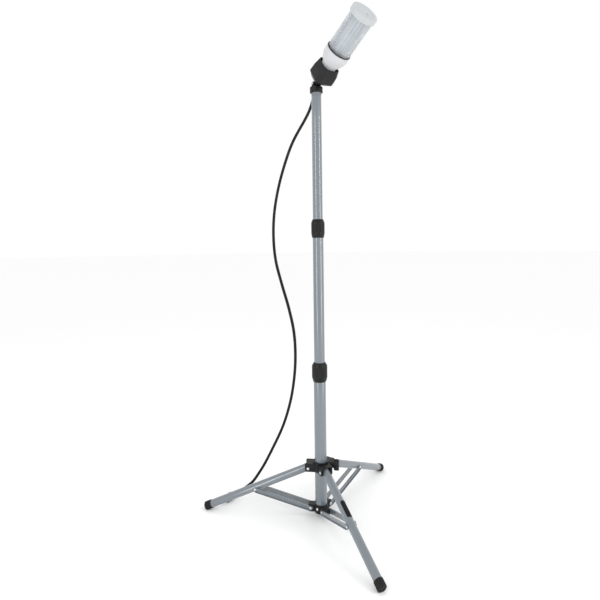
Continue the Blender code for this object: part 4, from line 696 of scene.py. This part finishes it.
# ================================================================ cord
# A round three-core lead that hangs from the gland beside the mast and runs to its plug.
# Extruded PVC, 9 mm thick; it is made in two stretches, which meet at one point of its route.
ROUTE = (
    (0.0721, 0.0461, 1.231), (0.0682, 0.0627, 1.231), (0.063, 0.081, 1.226),
    (0.056, 0.093, 1.212), (0.046, 0.101, 1.192), (0.033, 0.107, 1.171),
    (-0.009, 0.122, 1.105), (-0.041, 0.138, 1.030), (-0.064, 0.149, 0.955),
    (-0.076, 0.146, 0.879), (-0.075, 0.128, 0.804), (-0.062, 0.097, 0.733),
    (-0.039, 0.069, 0.665), (-0.016, 0.055, 0.595), (-0.002, 0.062, 0.522),
    (-0.002, 0.088, 0.443), (-0.013, 0.123, 0.358), (-0.033, 0.155, 0.270),
    (-0.062, 0.174, 0.185), (-0.100, 0.174, 0.106), (-0.123, 0.166, 0.063),
    (-0.142, 0.155, 0.034), (-0.156, 0.144, 0.0165), (-0.170, 0.129, 0.0080),
    (-0.182, 0.110, 0.0052), (-0.192, 0.090, 0.0062),
)
SPLIT, JACKET_SIDES = 12, 20


def spline_point(p0, p1, p2, p3, share):
    """A point between p1 and p2 on a centripetal Catmull-Rom curve."""
    t0 = 0.0
    t1 = t0 + (p1 - p0).length ** 0.5
    t2 = t1 + (p2 - p1).length ** 0.5
    t3 = t2 + (p3 - p2).length ** 0.5
    t = t1 + (t2 - t1) * share
    a1 = p0 * ((t1 - t) / (t1 - t0)) + p1 * ((t - t0) / (t1 - t0))
    a2 = p1 * ((t2 - t) / (t2 - t1)) + p2 * ((t - t1) / (t2 - t1))
    a3 = p2 * ((t3 - t) / (t3 - t2)) + p3 * ((t - t2) / (t3 - t2))
    b1 = a1 * ((t2 - t) / (t2 - t0)) + a2 * ((t - t0) / (t2 - t0))
    b2 = a2 * ((t3 - t) / (t3 - t1)) + a3 * ((t - t1) / (t3 - t1))
    return b1 * ((t2 - t) / (t2 - t1)) + b2 * ((t - t1) / (t2 - t1))


def smooth_route(first, last, step):
    """Evenly spaced points on the smooth curve between two points of the route."""
    points = [Vector(p) for p in ROUTE]
    points = [2 * points[0] - points[1]] + points + [2 * points[-1] - points[-2]]
    fine = []
    for i in range(first + 1, last + 1):
        fine += [spline_point(*points[i - 1:i + 3], k / 20) for k in range(20)]
    fine.append(points[last + 1])
    lengths = [0.0]
    for a, b in zip(fine, fine[1:]):
        lengths.append(lengths[-1] + (b - a).length)
    count = max(2, round(lengths[-1] / step))
    even = []
    k = 0
    for i in range(count + 1):
        target = lengths[-1] * i / count
        while k < len(lengths) - 2 and lengths[k + 1] < target:
            k += 1
        share = (target - lengths[k]) / (lengths[k + 1] - lengths[k])
        even.append(fine[k].lerp(fine[k + 1], min(share, 1.0)))
    return even


def jacket(points):
    """A round jacket of even thickness along the points, closed at both ends."""
    work = bmesh.new()
    normal = None
    rings = []
    for i, point in enumerate(points):
        run = (points[min(i + 1, len(points) - 1)] - points[max(i - 1, 0)]).normalized()
        if normal is None:
            normal = run.orthogonal().normalized()
        normal = (normal - run * normal.dot(run)).normalized()
        other = run.cross(normal)
        ring = []
        for k in range(JACKET_SIDES):
            angle = 2 * math.pi * k / JACKET_SIDES
            out = normal * math.cos(angle) + other * math.sin(angle)
            ring.append(work.verts.new(point + out * CORD_R))
        rings.append(ring)
    for low, high in zip(rings, rings[1:]):
        for k in range(JACKET_SIDES):
            j = (k + 1) % JACKET_SIDES
            work.faces.new((low[k], low[j], high[j], high[k]))
    work.faces.new(rings[0][::-1])
    work.faces.new(rings[-1])
    bmesh.ops.recalc_face_normals(work, faces=work.faces)
    return work


def strand(name, points, node):
    """One stretch of the cord, in place of its CAD solid."""
    piece = shaped(name, jacket(points), pvc)
    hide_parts(node)
    return piece


RING_STEP, PLUG_STEP = 0.006, 0.022      # the plug takes its direction from the wider step
upper_points = smooth_route(0, SPLIT, RING_STEP)
lower_points = smooth_route(SPLIT, len(ROUTE) - 1, RING_STEP)
lower_points[0] = lower_points[0] + (lower_points[1] - lower_points[0]).normalized() * GAP
upper = strand("cord_to_middle", upper_points, "cord_upper")
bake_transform(upper)
lower = strand("cord_to_plug", lower_points, "cord_lower")
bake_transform(lower)

# ================================================================ plug
# The moulded plug on the cord's end: a flat PVC body with a ribbed tail and two blades.
# The blades are stamped from nickel-plated brass, with broken edges.

# Nickel plate on brass: slightly warm, bright.
nickel, tree, shader = finish("nickel_plated_brass", Metallic=1.0)
surface(tree, shader, "#C4C1B8", "#DEDCD5", 0.005, (0.18, 0.30), 0.0010, 0.00002)
coarse = smooth_route(SPLIT, len(ROUTE) - 1, PLUG_STEP)
run = coarse[-1] - coarse[-2]
PLUG_LENGTH, PLUG_THICKNESS = 0.036, 0.015
PLUG_TAIL, TAIL_RIBS, TAIL_PITCH = 0.018, 5, 0.0034
BLADE, BLADE_OFFSET, BLADE_MIDDLE = (0.0200, 0.0015, 0.0063), 0.00635, 0.0060
PLUG_START = GAP + 0.0008
BODY_START = PLUG_START + PLUG_TAIL
BODY_END = BODY_START + PLUG_LENGTH
drop = PLUG_THICKNESS / 2 + GAP - coarse[-1].z
plug_place = (Matrix.Translation(coarse[-1])
              @ Matrix.Rotation(math.atan2(run.y, run.x), 4, "Z"))
shell = bmesh.new()
outline = rounded([(BODY_END, -0.0105), (BODY_END, 0.0105), (BODY_START + 0.004, 0.0120),
                   (BODY_START, 0.0070), (BODY_START, -0.0070), (BODY_START + 0.004, -0.0120)],
                  0.003, 4)
levels = ((-0.0075, 0.90), (-0.0070, 0.97), (-0.0058, 1.0), (0.0058, 1.0), (0.0070, 0.97),
          (0.0075, 0.90))
centre = (BODY_START + BODY_END) / 2
rings = [[shell.verts.new((centre + (x - centre) * (0.5 + 0.5 * wide), y * wide, drop + z))
          for x, y in outline] for z, wide in levels]
for low, high in zip(rings, rings[1:]):
    for k in range(len(outline)):
        j = (k + 1) % len(outline)
        shell.faces.new((low[k], low[j], high[j], high[k]))
shell.faces.new(rings[0][::-1])
shell.faces.new(rings[-1])
bmesh.ops.recalc_face_normals(shell, faces=shell.faces)
plug = fit("plug_body", shell, pvc, "base", ("plug",), plug_place)
outline = [(0.0, PLUG_START), (0.0048, PLUG_START)]
for k in range(TAIL_RIBS):
    at = PLUG_START + 0.001 + k * TAIL_PITCH
    outline += [(0.0050, at), (0.0044, at + 0.0003), (0.0044, at + 0.0012), (0.0054, at + 0.0016)]
outline += [(0.0058, BODY_START + 0.002), (0.0, BODY_START + 0.002)]
tail = fit("plug_tail", turned(outline, 32, closed=False), pvc, "base", (),
           plug_place @ along_x)
pins = [Matrix.Translation((BODY_END + BLADE_MIDDLE, side * BLADE_OFFSET, drop))
        for side in (1.0, -1.0)]
blades = fit("plug_blades", blocks(pins, BLADE), nickel, "base", (), plug_place)

# ================================================================ studio
# A plain white floor under even light, with a tall softbox on each side of the camera that
# draws the two long highlights on the tubes.
FLOOR_R, FLOOR_DROP, AIM_HEIGHT = 30.0, 0.0002, 0.75
paper, tree, shader = finish("studio_paper", Roughness=0.9)
surface(tree, shader, "#FBFBFB", "#FDFDFD", 0.3, (0.88, 0.92), 0.01, 0.00002)
work = bmesh.new()
bmesh.ops.create_circle(work, cap_ends=True, segments=96, radius=FLOOR_R)
mesh = bpy.data.meshes.new("studio_floor")
work.to_mesh(mesh)
work.free()
mesh.materials.append(paper)
floor = bpy.data.objects.new("studio_floor", mesh)
floor.location = (0.0, 0.0, -FLOOR_DROP)
bpy.context.scene.collection.objects.link(floor)

world = bpy.data.worlds.new("studio_air")
bpy.context.scene.world = world
world.use_nodes = True
world.node_tree.nodes.clear()
air = add(world.node_tree, "ShaderNodeBackground", {"Color": linear("#FFFFFF"), "Strength": 1.0})
add(world.node_tree, "ShaderNodeOutputWorld", {0: air.outputs[0]})


def softbox(name, azimuth, distance, height, size, power):
    """A rectangular area light around the mast, aimed at its middle."""
    lamp = bpy.data.lights.new(name, "AREA")
    lamp.shape = "RECTANGLE"
    lamp.size, lamp.size_y = size
    lamp.energy = power
    holder = bpy.data.objects.new(name, lamp)
    turn = math.radians(azimuth)
    holder.location = (MAST_X + distance * math.cos(turn), distance * math.sin(turn), height)
    aim = Vector((MAST_X, 0.0, AIM_HEIGHT)) - holder.location
    holder.rotation_euler = aim.to_track_quat("-Z", "Y").to_euler()
    bpy.context.scene.collection.objects.link(holder)


softbox("softbox_left", -122.0, 2.2, 0.9, (0.42, 2.2), 17.0)
softbox("softbox_right", -23.0, 2.2, 0.9, (0.46, 2.2), 20.0)

# ================================================================ camera
# A level camera at a little over half the mast's height, turned slightly about its own line of
# sight, close enough that the feet are seen from above.
CAMERA_AT, FOCAL_MM, SENSOR_MM = (0.2554, -1.4165, 0.7964), 29.574, 36.0
SHIFT_X, SHIFT_Y = -0.0301, -0.1
CAMERA_TURN, CAMERA_ROLL = math.radians(6.916), math.radians(-0.691)
across, along = math.cos(CAMERA_TURN), math.sin(CAMERA_TURN)
view = Matrix(((across, 0.0, along), (along, 0.0, -across), (0.0, 1.0, 0.0))).to_4x4()
lens = bpy.data.cameras.new("camera")
lens.lens = FOCAL_MM
lens.sensor_width = SENSOR_MM
lens.shift_x = SHIFT_X
lens.shift_y = SHIFT_Y
camera = bpy.data.objects.new("camera", lens)
camera.matrix_world = (Matrix.Translation(CAMERA_AT) @ view
                       @ Matrix.Rotation(CAMERA_ROLL, 4, "Z"))
bpy.context.scene.collection.objects.link(camera)
bpy.context.scene.camera = camera
bpy.context.scene.view_settings.view_transform = "Standard"
